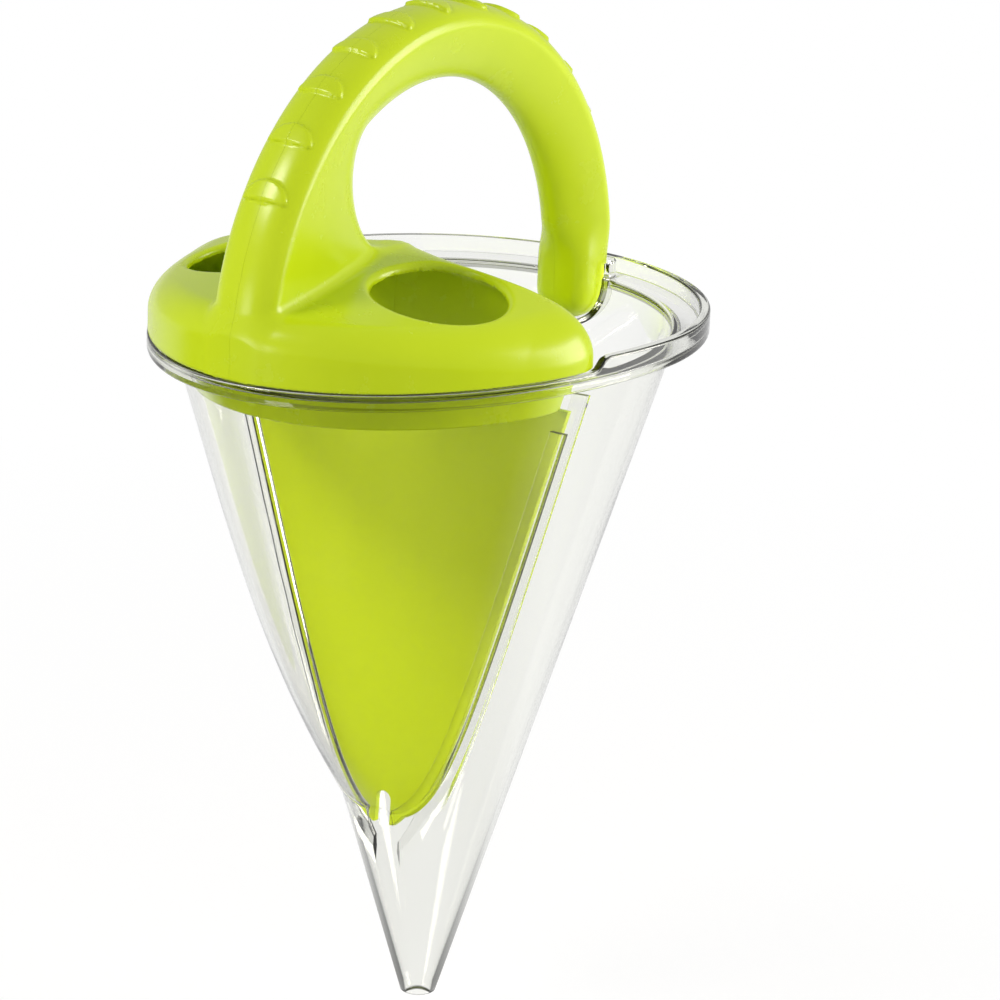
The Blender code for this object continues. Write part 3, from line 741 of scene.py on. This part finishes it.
@dataclass
class Handle:
    """The arched handle: an arch over the open side, swept into the lid by a gusset."""

    centre_y: float = -10.5
    centre_z: float = 7.2
    radius: float = 86.8
    depth: float = 21.3
    half_width: float = 10.0
    crown: float = 6.0
    outer_power: float = 2.2
    inner_power: float = 2.5
    taper: float = 0.4
    wall: float = 2.4
    gusset_start: float = math.radians(118.0)
    gusset_pull_up: float = 12.4
    gusset_pull_back: float = 25.8
    gusset_dip: float = 2.6
    gusset_end: tuple[float, float] = (-20.0, 26.7)
    shoulder: float = 6.3
    lid_bottom: float = 4.9
    scale_counts: tuple[int, int] = (6, 5)
    scale_starts: tuple[float, float] = (math.radians(149.0), math.radians(31.0))
    scale_pitch: float = math.radians(11.6)
    scale_half_width: float = 7.2
    scale_length: float = 6.2
    scale_height: float = 0.95
    inner: Lookup = field(init=False)

    def __post_init__(self) -> None:
        """Samples the distance to the handle's inner curve."""
        self.inner = self.inner_lookup()

    def inner_curve(self) -> Array:
        """The inner edge: a circle from the foot, then a cubic curve to the lid's ridge.

        Returns:
            Places in y and z.
        """
        radius = self.radius - self.depth
        angle = np.linspace(math.asin((self.shoulder - self.centre_z) / radius), self.gusset_start, 80)
        centre = np.array([self.centre_y, self.centre_z])
        arch = centre + radius * np.column_stack([np.cos(angle), np.sin(angle)])
        start, end = arch[-1], np.array(self.gusset_end)
        heading = np.array([-math.sin(self.gusset_start), math.cos(self.gusset_start)])
        pull_start = start + self.gusset_pull_up * heading
        pull_end = end - np.array([self.gusset_pull_back, self.gusset_dip])
        t = np.linspace(0.0, 1.0, 61)[1:, None]
        rest = 1.0 - t
        cubic = rest**3 * start + 3.0 * rest**2 * t * pull_start + 3.0 * rest * t**2 * pull_end + t**3 * end
        return np.concatenate([arch, cubic])

    def inner_lookup(self) -> Lookup:
        """Distance to the nearest segment of the inner curve.

        Returns:
            The distances on a grid in y and z, negative inside the loop.
        """
        curve = self.inner_curve()
        step, low = 0.5, np.array([-110.0, -16.0])
        nodes = low + step * np.stack(np.meshgrid(np.arange(400), np.arange(232), indexing="ij"), axis=-1)
        flat = nodes.reshape(-1, 1, 2)
        start, along = curve[:-1], np.diff(curve, axis=0)
        share = np.clip(((flat - start) * along).sum(-1) / (along**2).sum(-1), 0.0, 1.0)
        away = np.linalg.norm(flat - start - share[..., None] * along, axis=-1).min(axis=1)
        loop = np.concatenate([curve, curve[:1]])
        (y0, z0), (y1, z1) = loop[:-1].T, loop[1:].T
        y, z = flat[..., 0], flat[..., 1]
        rise = np.where(z1 == z0, 1e-9, z1 - z0)
        passes = ((z0 > z) != (z1 > z)) & (y < (y1 - y0) * (z - z0) / rise + y0)
        in_loop = passes.sum(axis=1) % 2 == 1
        return Lookup(low, step, np.where(in_loop, -away, away).reshape(nodes.shape[:2]))

    def floor(self, y: Array) -> Array:
        """Height below which the handle's sweep ends: inside the lid and under the loop, open at the foot.

        Args:
            y: Places along the object.

        Returns:
            The heights, in straight lines between the named places.
        """
        leg = self.centre_y + self.radius - self.depth
        end_y, end_z = self.gusset_end
        return np.interp(y, [self.centre_y - self.radius, end_y, end_y + 1.0, leg - 1.5, leg - 1.0],
                         [self.lid_bottom, end_z, end_z + 0.9, self.shoulder + 1.4, -40.0])

    def down(self, y: Array, z: Array) -> Array:
        """Depth below the handle's outer curve."""
        return self.radius - np.hypot(y - self.centre_y, z - self.centre_z)

    def bar(self, x: Array, y: Array, z: Array) -> Array:
        """Distance to the swept bar, without its ends.

        The section is a superellipse in two parts that share their widest place: a low crown
        outside, and a deeper part inside whose sides draw together. The power mean of the shares
        of its width and depth is one on its surface, and dividing by the slope gives a distance.

        Args:
            x: Places across.
            y: Places along the object.
            z: Heights.

        Returns:
            The distances.
        """
        down = self.down(y, z)
        depth = np.maximum(down + self.inner.at(y, z), self.crown + 5.0)
        outside = down < self.crown
        length = np.where(outside, self.crown, depth - self.crown)
        deep = np.abs(down - self.crown) / length
        power = np.where(outside, self.outer_power, self.inner_power)
        width = self.half_width * np.where(outside, 1.0, 1.0 - self.taper * np.clip(deep, 0.0, 1.0))
        wide = np.abs(x) / width
        mean = np.maximum((wide**power + deep**power) ** (1.0 / power), 1e-3)
        slope = np.hypot((wide / mean) ** (power - 1.0) / width, (deep / mean) ** (power - 1.0) / length)
        return (mean - 1.0) / np.maximum(slope, 0.02)

    def scales(self, x: Array, y: Array, z: Array, bar: Array) -> Array:
        """Distance to the half-moon scales.

        Each is half an ellipse on the outer curve, straight towards the handle's end and round
        towards its top, and as high as the bar grown by the scale's height.

        Args:
            x: Places across.
            y: Places along the object.
            z: Heights.
            bar: Distance to the bar at these places.

        Returns:
            The distances.
        """
        angle = np.arctan2(z - self.centre_z, y - self.centre_y)
        found = None
        for count, start, heading in zip(self.scale_counts, self.scale_starts, (-1.0, 1.0)):
            turned = heading * (angle - start) / self.scale_pitch
            along = (turned - np.clip(np.round(turned - 0.25), 0, count - 1)) * self.scale_pitch * self.radius
            round_edge = np.hypot(x / self.scale_half_width, along / self.scale_length) - 1.0
            moon = round_max(round_edge * self.scale_length, -along, 0.7)
            found = moon if found is None else np.minimum(found, moon)
        raised = round_max(bar - self.scale_height, found, 0.45)
        return np.maximum(raised, self.down(y, z) - self.crown - 2.0)

    def outside(self, x: Array, y: Array, z: Array) -> Array:
        """Distance to the bar with its scales, ended inside the lid.

        Args:
            x: Places across.
            y: Places along the object.
            z: Heights.

        Returns:
            The distances.
        """
        bar = self.bar(x, y, z)
        dressed = round_min(bar, self.scales(x, y, z, bar), 0.35)
        return round_max(dressed, self.floor(y) - z, 0.4)

    def inside(self, x: Array, y: Array, z: Array) -> Array:
        """Distance to the hollow: the bar shrunk by the wall, ended above the lid and above the foot."""
        low = np.maximum(self.floor(y), np.where(y > self.centre_y, self.shoulder, self.lid_bottom))
        return np.maximum(self.bar(x, y, z) + self.wall, low + self.wall - z)


@dataclass
class LidUnit:
    """Lid with filling holes and plug, joined to the handle, in two halves that meet at X = 0."""

    cone: Cone = Cone()
    handle: Handle = field(default_factory=Handle)
    foot: FootPod = FootPod()
    plate: Partition = Partition()
    collar_half_width: float = 73.0
    collar_lid_reach: float = 103.0
    collar_centre_y: float = 5.0
    setback: float = 0.3
    front_proud: float = 0.15
    back_y: float = -13.8
    centre_y: float = -50.0
    corner_power: float = 5.2
    ridge: float = 30.0
    side_drop: float = 12.5
    fall: float = 0.09
    shoulder_round: float = 8.0
    corner_round: float = 17.0
    corner_turn: float = math.radians(50.0)
    corner_spread: float = math.radians(42.0)
    bottom: float = 4.9
    wall: float = 2.4
    plug_depth: float = 8.5
    plug_wall: float = 1.8
    plug_setback: float = 0.4
    plug_gap: float = 0.6
    rib_foot: float = 1.0
    rib_thickness: float = 1.6
    rib_gap: float = 0.3
    hole_radius: float = 18.8
    hole_centre: tuple[float, float] = (31.0, -45.5)
    hole_lip: float = 2.0
    seam_gap: float = 0.05
    handle_fillet: float = 3.0
    foot_blend: float = 14.0
    grid_step: float = 0.7

    def outline_distance(self, x: Array, y: Array, half_width: float, reach: float,
                         middle: float, back: float) -> Array:
        """Distance in plan to an ellipse's lid side, cut straight at the back with round corners.

        Along each direction from the lid's middle, the distances to the ellipse and to the back
        are joined by a high power mean. What a place lies beyond that, times the cosine of the
        outline's lean, is its distance.

        Args:
            x: Places across.
            y: Places along the object.
            half_width: Half width of the ellipse.
            reach: Length of the ellipse's lid side.
            middle: Where along Y the ellipse is widest.
            back: Place of the straight back.

        Returns:
            The distances, negative inside.
        """
        theta = np.linspace(-math.pi, math.pi, 1441)
        across, along = np.cos(theta), np.sin(theta)
        offset = self.centre_y - middle
        a = (across / half_width) ** 2 + (along / reach) ** 2
        b = along * offset / reach**2
        c = (offset / reach) ** 2 - 1.0
        to_ellipse = (np.sqrt(b * b - a * c) - b) / a
        to_back = (back - self.centre_y) / np.maximum(along, 1e-6)
        far = (to_ellipse**-self.corner_power + to_back**-self.corner_power) ** (-1.0 / self.corner_power)
        lean = 1.0 / np.hypot(1.0, np.gradient(far, theta) / far)
        turn = np.arctan2(y - self.centre_y, x)
        return (np.hypot(x, y - self.centre_y) - np.interp(turn, theta, far)) * np.interp(turn, theta, lean)

    def height(self, x: Array, y: Array) -> Array:
        """Height of the lid's top: crowned across, falling from the back to the front."""
        return self.ridge - self.side_drop * (x / self.collar_half_width) ** 2 - self.fall * (self.back_y - y)

    def beyond(self, x: Array, y: Array) -> Array:
        """Distance in plan to the lid's outline."""
        half_width, reach = self.collar_half_width - self.setback, self.collar_lid_reach - self.setback
        return self.outline_distance(x, y, half_width, reach, self.collar_centre_y, self.back_y)

    def dome(self, x: Array, y: Array, z: Array) -> Array:
        """Distance to the lid's domed block, its shoulder rounder at the back and its corners.

        Args:
            x: Places across.
            y: Places along the object.
            z: Heights.

        Returns:
            The distances, without a bottom.
        """
        beyond, top = self.beyond(x, y), self.height(x, y)
        turn = np.arctan2(y - self.centre_y, np.abs(x)) - self.corner_turn
        at_corner = np.exp(-((turn / self.corner_spread) ** 2))
        radius = self.shoulder_round + (self.corner_round - self.shoulder_round) * at_corner
        radius = np.clip(0.8 * (top - self.bottom), 4.0, radius)
        return round_max(beyond, z - top, radius)

    def plug(self, x: Array, y: Array, z: Array) -> Array:
        """Distance to the plug's sides: outlines at its top and its bottom, joined by straight lines.

        Args:
            x: Places across.
            y: Places along the object.
            z: Heights.

        Returns:
            The distances, without a top or bottom.
        """
        inset, back = self.cone.wall + self.plug_gap, self.back_y - self.plug_setback
        found = []
        for level in (0.0, -self.plug_depth):
            width, _, reach = self.cone.sizes(level, inset)
            found.append(self.outline_distance(x, y, float(width), float(reach), 0.0, back))
        share = np.clip(-z / self.plug_depth, 0.0, 1.0)
        return found[0] + (found[1] - found[0]) * share

    def stem(self, x: Array, y: Array, z: Array) -> Array:
        """Distance to the handle, which passes over into the foot as the leg nears its niche.

        Args:
            x: Places across.
            y: Places along the object.
            z: Heights.

        Returns:
            The distances.
        """
        share = np.clip((z - self.handle.shoulder) / self.foot_blend, 0.0, 1.0)
        share = np.where(y > self.foot.y / 2.0, share**2 * (3.0 - 2.0 * share), 1.0)
        return share * self.handle.outside(x, y, z) + (1.0 - share) * self.foot.distance(x, y, z)

    def whole(self, x: Array, y: Array, z: Array) -> Array:
        """Distance to lid and handle before they are parted.

        The outside joins dome, handle, foot and plug with fillets, and is cut by the hole with a
        rounded lip. The hollows of dome, plug and handle are taken out, and the groove's ribs are
        put back.

        Args:
            x: Places across.
            y: Places along the object.
            z: Heights.

        Returns:
            The distances, negative inside.
        """
        dome, plug = self.dome(x, y, z), self.plug(x, y, z)
        floor = self.bottom + self.wall
        hole = np.hypot(x - self.hole_centre[0], y - self.hole_centre[1]) - self.hole_radius
        stem = self.stem(x, y, z)
        lid = round_max(dome, self.bottom - z, 0.6)
        solid = round_min(lid, stem, self.handle_fillet)
        front_limit = np.maximum(self.beyond(x, y) - self.front_proud, self.bottom - z)
        solid = np.where(y < self.centre_y, np.maximum(solid, front_limit), solid)
        solid = round_max(solid, -hole, self.hole_lip)
        skirt = np.maximum(round_max(plug, -self.plug_depth - z, 0.4), z - floor)
        solid = np.minimum(solid, skirt)
        rooms = (np.maximum(dome + self.wall, floor - z),
                 np.maximum(plug + self.plug_wall, z - floor - self.wall),
                 np.maximum(self.handle.inside(x, y, z), stem + self.wall))
        for room in rooms:
            solid = np.maximum(solid, -room)
        front, rear = self.plate.front_y - self.rib_gap, self.plate.back_y + self.rib_gap
        ribs = np.minimum(np.maximum(y - front, front - self.rib_thickness - y), rear - y)
        within = np.where(z < floor, plug + self.plug_wall / 2.0, dome + self.wall / 2.0)
        return np.minimum(solid, np.maximum(np.maximum(ribs, within), self.rib_foot - z))

    def distance(self, x: Array, y: Array, z: Array) -> Array:
        """Distance to the right half."""
        return np.maximum(self.whole(x, y, z), self.seam_gap / 2.0 - x)

    def with_sharp_seam(self, surface: Surface, step: float) -> Surface:
        """Moves the points on the rim of the parting face out to its sharp edge.

        Args:
            surface: The right half, whose rim is bevelled by up to a grid step.
            step: Width of a grid cell.

        Returns:
            The same faces, with the rim in the parting plane and on the outside.
        """
        points = surface.points.copy()
        rim = (points[:, 0] < 0.75 * step) & (self.whole(*points.T) > -0.8 * step)
        edge, nudge = points[rim], 0.05
        edge[:, 0] = self.seam_gap / 2.0
        for _ in range(3):
            slope = np.column_stack([self.whole(*(edge + e).T) - self.whole(*(edge - e).T)
                                     for e in nudge * np.eye(3)[1:]]) / (2.0 * nudge)
            steep = np.maximum((slope**2).sum(axis=1), 0.3)
            edge[:, 1:] -= np.clip((self.whole(*edge.T) / steep)[:, None] * slope, -0.5 * step, 0.5 * step)
        points[rim] = edge
        return Surface(points, surface.quads)

    def half_surface(self) -> Surface:
        """The right half: the zero of its distance, sampled on a grid and settled onto it.

        Returns:
            The closed half, pointing outwards.
        """
        step = self.grid_step * 1.0
        low = np.array([-1.2, -99.0, -12.6])
        high = np.array([69.0, 78.0, 96.6])
        counts = np.ceil((high - low) / step).astype(int) + 1
        x, y, z = (low[i] + step * np.arange(counts[i]) for i in range(3))
        values = self.distance(x[:, None, None], y[None, :, None], z[None, None, :])
        return self.with_sharp_seam(settled(zero_surface(values, low, step), self.distance, 0.3 * step), step)

    def build(self) -> dict[Side, bpy.types.Object]:
        """Makes both halves and puts them on the lid's body.

        Returns:
            The halves by side.
        """
        half = self.half_surface()
        surfaces = {Side.RIGHT: half, Side.LEFT: half.mirrored()}
        nodes = {Side.RIGHT: (Node.RIGHT_HALF, Slot.GREEN_RIGHT),
                 Side.LEFT: (Node.LEFT_HALF, Slot.GREEN_LEFT)}
        pieces = {}
        for side, surface in surfaces.items():
            piece = surface.to_object(f"lid_half_{side.name.lower()}", 60.0)
            node, slot = nodes[side]
            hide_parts(node.value)
            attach(piece, Body.LID_UNIT.value)
            pieces[side] = piece
        return pieces

    def dress(self, halves: dict[Side, bpy.types.Object]) -> None:
        """Gives each half its green plastic."""
        for side, piece in halves.items():
            coat(piece, GreenPlastic(f"green_plastic_{side.name.lower()}_half").build())


Value = Union[float, "Sock"]


class Sock:
    """A shader socket that adds Math nodes when it is used in an expression."""

    def __init__(self, graph: Graph, socket: bpy.types.NodeSocket) -> None:
        """Wraps an output socket of a graph's node."""
        self.graph = graph
        self.socket = socket

    def math(self, operation: str, first: Value, second: Value) -> Sock:
        """Result of a Math node on two values."""
        return self.graph.add("ShaderNodeMath", {"operation": operation}, {0: first, 1: second}).out(0)

    def __add__(self, other: Value) -> Sock:
        """Sum."""
        return self.math("ADD", self, other)

    def __sub__(self, other: Value) -> Sock:
        """Difference."""
        return self.math("SUBTRACT", self, other)

    def __rsub__(self, other: Value) -> Sock:
        """Difference from a number."""
        return self.math("SUBTRACT", other, self)

    def __mul__(self, other: Value) -> Sock:
        """Product."""
        return self.math("MULTIPLY", self, other)

    def __gt__(self, other: Value) -> Sock:
        """One where this is greater, else zero."""
        return self.math("GREATER_THAN", self, other)

    __radd__ = __add__
    __rmul__ = __mul__


class Placed:
    """A node that has been put into a graph."""

    def __init__(self, graph: Graph, node: bpy.types.Node) -> None:
        """Keeps the node and its graph."""
        self.graph = graph
        self.node = node

    def out(self, key: Union[int, str]) -> Sock:
        """One of its output sockets."""
        return Sock(self.graph, self.node.outputs[key])


class Graph:
    """The node tree of one material or world."""

    def __init__(self, tree: bpy.types.NodeTree) -> None:
        """Empties the tree."""
        self.tree = tree
        tree.nodes.clear()

    def add(self, kind: str, settings: dict[str, object], inputs: dict[Union[int, str], object]) -> Placed:
        """Adds a node.

        Args:
            kind: Blender's name of the node type.
            settings: Properties of the node; a ramp's stops are given as "stops".
            inputs: Values or sockets for its inputs.

        Returns:
            The placed node.
        """
        node = self.tree.nodes.new(kind)
        for name, value in settings.items():
            if name == "stops":
                ramp = node.color_ramp
                for element, (place, grey) in zip((ramp.elements[0], ramp.elements[-1]), value):
                    element.position = place
                    element.color = (grey, grey, grey, 1.0)
            else:
                setattr(node, name, value)
        for key, value in inputs.items():
            if isinstance(value, Sock):
                self.tree.links.new(value.socket, node.inputs[key])
            else:
                node.inputs[key].default_value = value
        return Placed(self, node)

    def place(self) -> Sock:
        """Object coordinates."""
        return self.add("ShaderNodeTexCoord", {}, {}).out("Object")

    def along(self, direction: tuple[float, float, float]) -> Sock:
        """How far a point lies along a direction."""
        node = self.add("ShaderNodeVectorMath", {"operation": "DOT_PRODUCT"}, {0: self.place(), 1: direction})
        return node.out("Value")

    def stretched(self, scale: tuple[float, float, float]) -> Sock:
        """Object coordinates scaled along each axis."""
        return self.add("ShaderNodeMapping", {}, {"Vector": self.place(), "Scale": scale}).out(0)

    def noise(self, where: Sock, scale: float, detail: float, roughness: float = 0.5) -> Sock:
        """Noise about one half."""
        return self.add("ShaderNodeTexNoise", {}, {"Vector": where, "Scale": scale, "Detail": detail,
                                                   "Roughness": roughness}).out(0)

    def ramp(self, value: Sock, stops: Sequence[tuple[float, float]]) -> Sock:
        """Value carried from one range to another, held beyond its ends."""
        return self.add("ShaderNodeValToRGB", {"stops": stops}, {0: value}).out(0)

    def mixed(self, share: Sock, first: tuple[float, ...], second: tuple[float, ...]) -> Sock:
        """Colour between two colours."""
        inputs = {0: share, 6: (*first, 1.0), 7: (*second, 1.0)}
        return self.add("ShaderNodeMix", {"data_type": "RGBA"}, inputs).out(2)

    def bump(self, height: Sock, distance: float, strength: float) -> Sock:
        """Normal bent by a height."""
        inputs = {"Height": height, "Distance": distance, "Strength": strength}
        return self.add("ShaderNodeBump", {}, inputs).out(0)


@dataclass(frozen=True)
class GreenPlastic:
    """Glossy lime green plastic: faint flow marks, a fine moulded skin and a few soft scuffs."""

    name: str
    colour: tuple[float, float, float] = (0.470, 0.617, 0.002)
    pale: tuple[float, float, float] = (0.505, 0.645, 0.005)
    gloss: float = 0.24

    def build(self) -> bpy.types.Material:
        """Makes the material.

        Returns:
            The material, with its nodes.
        """
        material = bpy.data.materials.new(self.name)
        material.use_nodes = True
        graph = Graph(material.node_tree)
        flow = graph.noise(graph.stretched((1.0, 1.0, 0.35)), 26.0, 4.0, 0.6)
        skin = graph.noise(graph.place(), 1300.0, 2.0)
        mist = graph.ramp(graph.noise(graph.place(), 70.0, 5.0, 0.65), ((0.48, 0.0), (0.75, 1.0)))
        colour = graph.mixed(graph.ramp(flow, ((0.3, 0.0), (0.7, 1.0))), self.colour, self.pale)
        rough = self.gloss + 0.07 * mist + 0.05 * (flow - 0.5)
        shader = graph.add("ShaderNodeBsdfPrincipled", {}, {
            "Base Color": colour,
            "Roughness": rough,
            "IOR": 1.46,
            "Normal": graph.bump(skin * 0.6 + flow * 0.4, 0.00005, 0.25),
        })
        graph.add("ShaderNodeOutputMaterial", {}, {"Surface": shader.out(0)})
        return material


@dataclass(frozen=True)
class ClearPlastic:
    """Clear plastic: lightly tinted, wavy as moulded walls are, with a faint haze."""

    name: str
    tint: tuple[float, float, float] = (0.99, 0.991, 0.984)
    dense: tuple[float, float, float] = (0.975, 0.978, 0.96)
    depth_colour: tuple[float, float, float] = (0.72, 0.76, 0.45)
    depth_density: float = 16.0
    gloss: float = 0.015

    def build(self) -> bpy.types.Material:
        """Makes the material.

        Returns:
            The material, with its nodes.
        """
        material = bpy.data.materials.new(self.name)
        material.use_nodes = True
        graph = Graph(material.node_tree)
        flow = graph.noise(graph.stretched((1.0, 1.0, 0.25)), 24.0, 3.0)
        haze = graph.ramp(graph.noise(graph.place(), 160.0, 4.0, 0.7), ((0.5, 0.0), (0.8, 1.0)))
        shader = graph.add("ShaderNodeBsdfPrincipled", {}, {
            "Base Color": graph.mixed(flow, self.tint, self.dense),
            "Roughness": self.gloss + 0.05 * haze,
            "IOR": 1.49,
            "Transmission Weight": 1.0,
            "Normal": graph.bump(flow, 0.0004, 0.25),
        })
        clear = graph.add("ShaderNodeBsdfTransparent", {}, {"Color": (*self.tint, 1.0)})
        shadow = graph.add("ShaderNodeLightPath", {}, {}).out("Is Shadow Ray")
        mix = graph.add("ShaderNodeMixShader", {}, {0: shadow, 1: shader.out(0), 2: clear.out(0)})
        depth = graph.add("ShaderNodeVolumeAbsorption", {}, {"Color": (*self.depth_colour, 1.0),
                                                             "Density": self.depth_density})
        graph.add("ShaderNodeOutputMaterial", {}, {"Surface": mix.out(0), "Volume": depth.out(0)})
        return material


@dataclass(frozen=True)
class PalePaper:
    """Pale paper floor: white where it is seen, with a soft shadow near the object.

    Mirrored, it is white behind the object and dim before it, as a sweep of paper in a dark room is.
    """

    name: str
    white_near: float = 0.9
    shadow_reach: tuple[float, float] = (0.25, 0.6)
    rear: tuple[float, float, float] = (-0.338, 0.941, 0.0)
    mirrored: tuple[float, float] = (0.05, 0.9)
    rear_reach: tuple[float, float] = (-0.03, 0.1)

    def build(self) -> bpy.types.Material:
        """Makes the material.

        Returns:
            The material, with its nodes.
        """
        material = bpy.data.materials.new(self.name)
        material.use_nodes = True
        graph = Graph(material.node_tree)
        grain = graph.noise(graph.place(), 300.0, 3.0)
        colour = graph.mixed(grain, (0.93, 0.93, 0.92), (0.95, 0.95, 0.95))
        paper = graph.add("ShaderNodeBsdfDiffuse", {}, {"Color": colour})
        white = graph.add("ShaderNodeEmission", {}, {"Color": (1.0, 1.0, 1.0, 1.0), "Strength": 1.0})
        behind = graph.along(self.rear) + 0.5
        stops = tuple((0.5 + reach, light) for reach, light in zip(self.rear_reach, self.mirrored))
        dim = graph.add("ShaderNodeEmission", {}, {"Color": graph.ramp(behind, stops), "Strength": 1.0})
        path = graph.add("ShaderNodeLightPath", {}, {})
        seen = (path.out("Is Camera Ray") + path.out("Is Transmission Ray")) > 0.5
        away = graph.add("ShaderNodeVectorMath", {"operation": "LENGTH"}, {0: graph.place()}).out("Value")
        near, far = self.shadow_reach
        share = seen * graph.ramp(away, ((near, self.white_near), (far, 1.0)))
        mix = graph.add("ShaderNodeMixShader", {}, {0: share, 1: paper.out(0), 2: white.out(0)})
        glossy = path.out("Glossy Depth") > 0.5
        mix = graph.add("ShaderNodeMixShader", {}, {0: glossy, 1: mix.out(0), 2: dim.out(0)})
        graph.add("ShaderNodeOutputMaterial", {}, {"Surface": mix.out(0)})
        return material


@dataclass(frozen=True)
class SoftBox:
    """One soft square lamp that looks at a point."""

    name: str
    place: tuple[float, float, float]
    aim: tuple[float, float, float]
    size: tuple[float, float]
    power: float
    colour: tuple[float, float, float] = (1.0, 0.94, 0.86)

    def build(self) -> None:
        """Puts the lamp into the scene."""
        lamp = bpy.data.lights.new(self.name, "AREA")
        lamp.shape = "RECTANGLE"
        lamp.size, lamp.size_y = self.size
        lamp.energy = self.power
        lamp.color = self.colour
        obj = bpy.data.objects.new(self.name, lamp)
        obj.matrix_world = looking(np.array(self.place), np.array(self.aim), np.array([0.0, 0.0, 1.0]))
        bpy.context.scene.collection.objects.link(obj)


def looking(place: Array, aim: Array, up: Array) -> Matrix:
    """Placement of a lamp or camera that looks from a place to a point.

    Args:
        place: Where it stands.
        aim: What it looks at.
        up: Direction that appears upright.

    Returns:
        The placement.
    """
    back = (place - aim) / np.linalg.norm(place - aim)
    right = np.cross(up, back)
    right /= np.linalg.norm(right)
    matrix = np.eye(4)
    matrix[:3, :3] = np.column_stack([right, np.cross(back, right), back])
    matrix[:3, 3] = place
    return Matrix(matrix.tolist())


@dataclass(frozen=True)
class Studio:
    """Camera at the photograph's angle, soft lamps, pale floor and white surroundings."""

    azimuth: float = math.radians(34.72)
    elevation: float = math.radians(15.507)
    roll: float = math.radians(-1.918)
    distance: float = 1.441
    focal_pixels: float = 5098.0
    frame_pixels: float = 1000.0
    origin_pixel: tuple[float, float] = (439.6, 325.1)
    floor_z: float = -0.2031
    surround: float = 0.5
    mirrored: float = 0.5
    lamps: tuple[SoftBox, ...] = (
        SoftBox("key", (-0.55, -0.95, 1.05), (0.0, 0.0, 0.0), (0.45, 0.45), 10.5),
        SoftBox("side", (0.86, 0.60, 0.27), (0.0, 0.0, 0.05), (0.62, 0.72), 11.0),
        SoftBox("front", (-0.35, -1.25, 0.05), (0.0, 0.0, -0.08), (0.4, 0.45), 2.6),
    )

    def camera(self) -> None:
        """Sets up the camera: the object's origin falls on its pixel of the frame."""
        a, e = self.azimuth, self.elevation
        back = np.array([math.sin(a) * math.cos(e), -math.cos(a) * math.cos(e), math.sin(e)])
        right = np.array([math.cos(a), math.sin(a), 0.0])
        up = np.cross(back, right)
        c, s = math.cos(self.roll), math.sin(self.roll)
        across, upright = c * right - s * up, s * right + c * up
        off_x, off_y = (self.frame_pixels / 2.0 - pixel for pixel in self.origin_pixel)
        shift = (off_x * across - off_y * upright) / self.focal_pixels
        place = self.distance * back
        data = bpy.data.cameras.new("camera")
        data.sensor_width = 36.0
        data.lens = 36.0 * self.focal_pixels / self.frame_pixels
        data.clip_end = 50.0
        camera = bpy.data.objects.new("camera", data)
        camera.matrix_world = looking(place, place - back + shift, upright)
        bpy.context.scene.collection.objects.link(camera)
        bpy.context.scene.camera = camera

    def floor(self) -> None:
        """Lays the floor: a plane far larger than the frame."""
        far = 6000.0
        corners = np.array([[-far, -far], [far, -far], [far, far], [-far, far]])
        points = np.column_stack([corners, np.full(4, self.floor_z / MM)])
        floor = Surface(points, np.array([[0, 1, 2, 3]])).to_object("floor")
        floor.data.materials.append(PalePaper("pale_paper").build())

    def surroundings(self) -> None:
        """White where it is seen, dimmer where it lights the object, dimmest where it is mirrored."""
        world = bpy.data.worlds.new("surroundings")
        world.use_nodes = True
        graph = Graph(world.node_tree)
        path = graph.add("ShaderNodeLightPath", {}, {})
        seen = path.out("Is Camera Ray") + path.out("Is Transmission Ray")
        mirrored = path.out("Is Glossy Ray")
        strength = self.surround + (seen > 0.5) * (1.0 - self.surround)
        strength = strength * (1.0 - mirrored) + mirrored * self.mirrored
        light = graph.add("ShaderNodeBackground", {}, {"Color": (1.0, 1.0, 1.0, 1.0), "Strength": strength})
        graph.add("ShaderNodeOutputWorld", {}, {"Surface": light.out(0)})
        bpy.context.scene.world = world

    def build(self) -> None:
        """Sets the whole studio up."""
        self.camera()
        self.floor()
        self.surroundings()
        for lamp in self.lamps:
            lamp.build()
        bpy.context.scene.view_settings.view_transform = "Standard"


def coat(piece: bpy.types.Object, material: bpy.types.Material) -> None:
    """Gives a piece its only material and reports it.

    Args:
        piece: The piece.
        material: Its material.
    """
    piece.data.materials.clear()
    piece.data.materials.append(material)
    LOG.info("%s: %d faces, %s", piece.name, len(piece.data.polygons), material.name)


def main() -> None:
    """Builds the pieces, dresses them and sets up the studio."""
    logging.basicConfig(level=logging.INFO, format="%(name)s: %(message)s")
    for obj in list(bpy.data.objects):
        bpy.data.objects.remove(obj, do_unlink=True)
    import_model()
    for assembly in (FunnelShell(), LidUnit(), Partition()):
        assembly.dress(assembly.build())
    Studio().build()


if __name__ == "__main__":
    main()
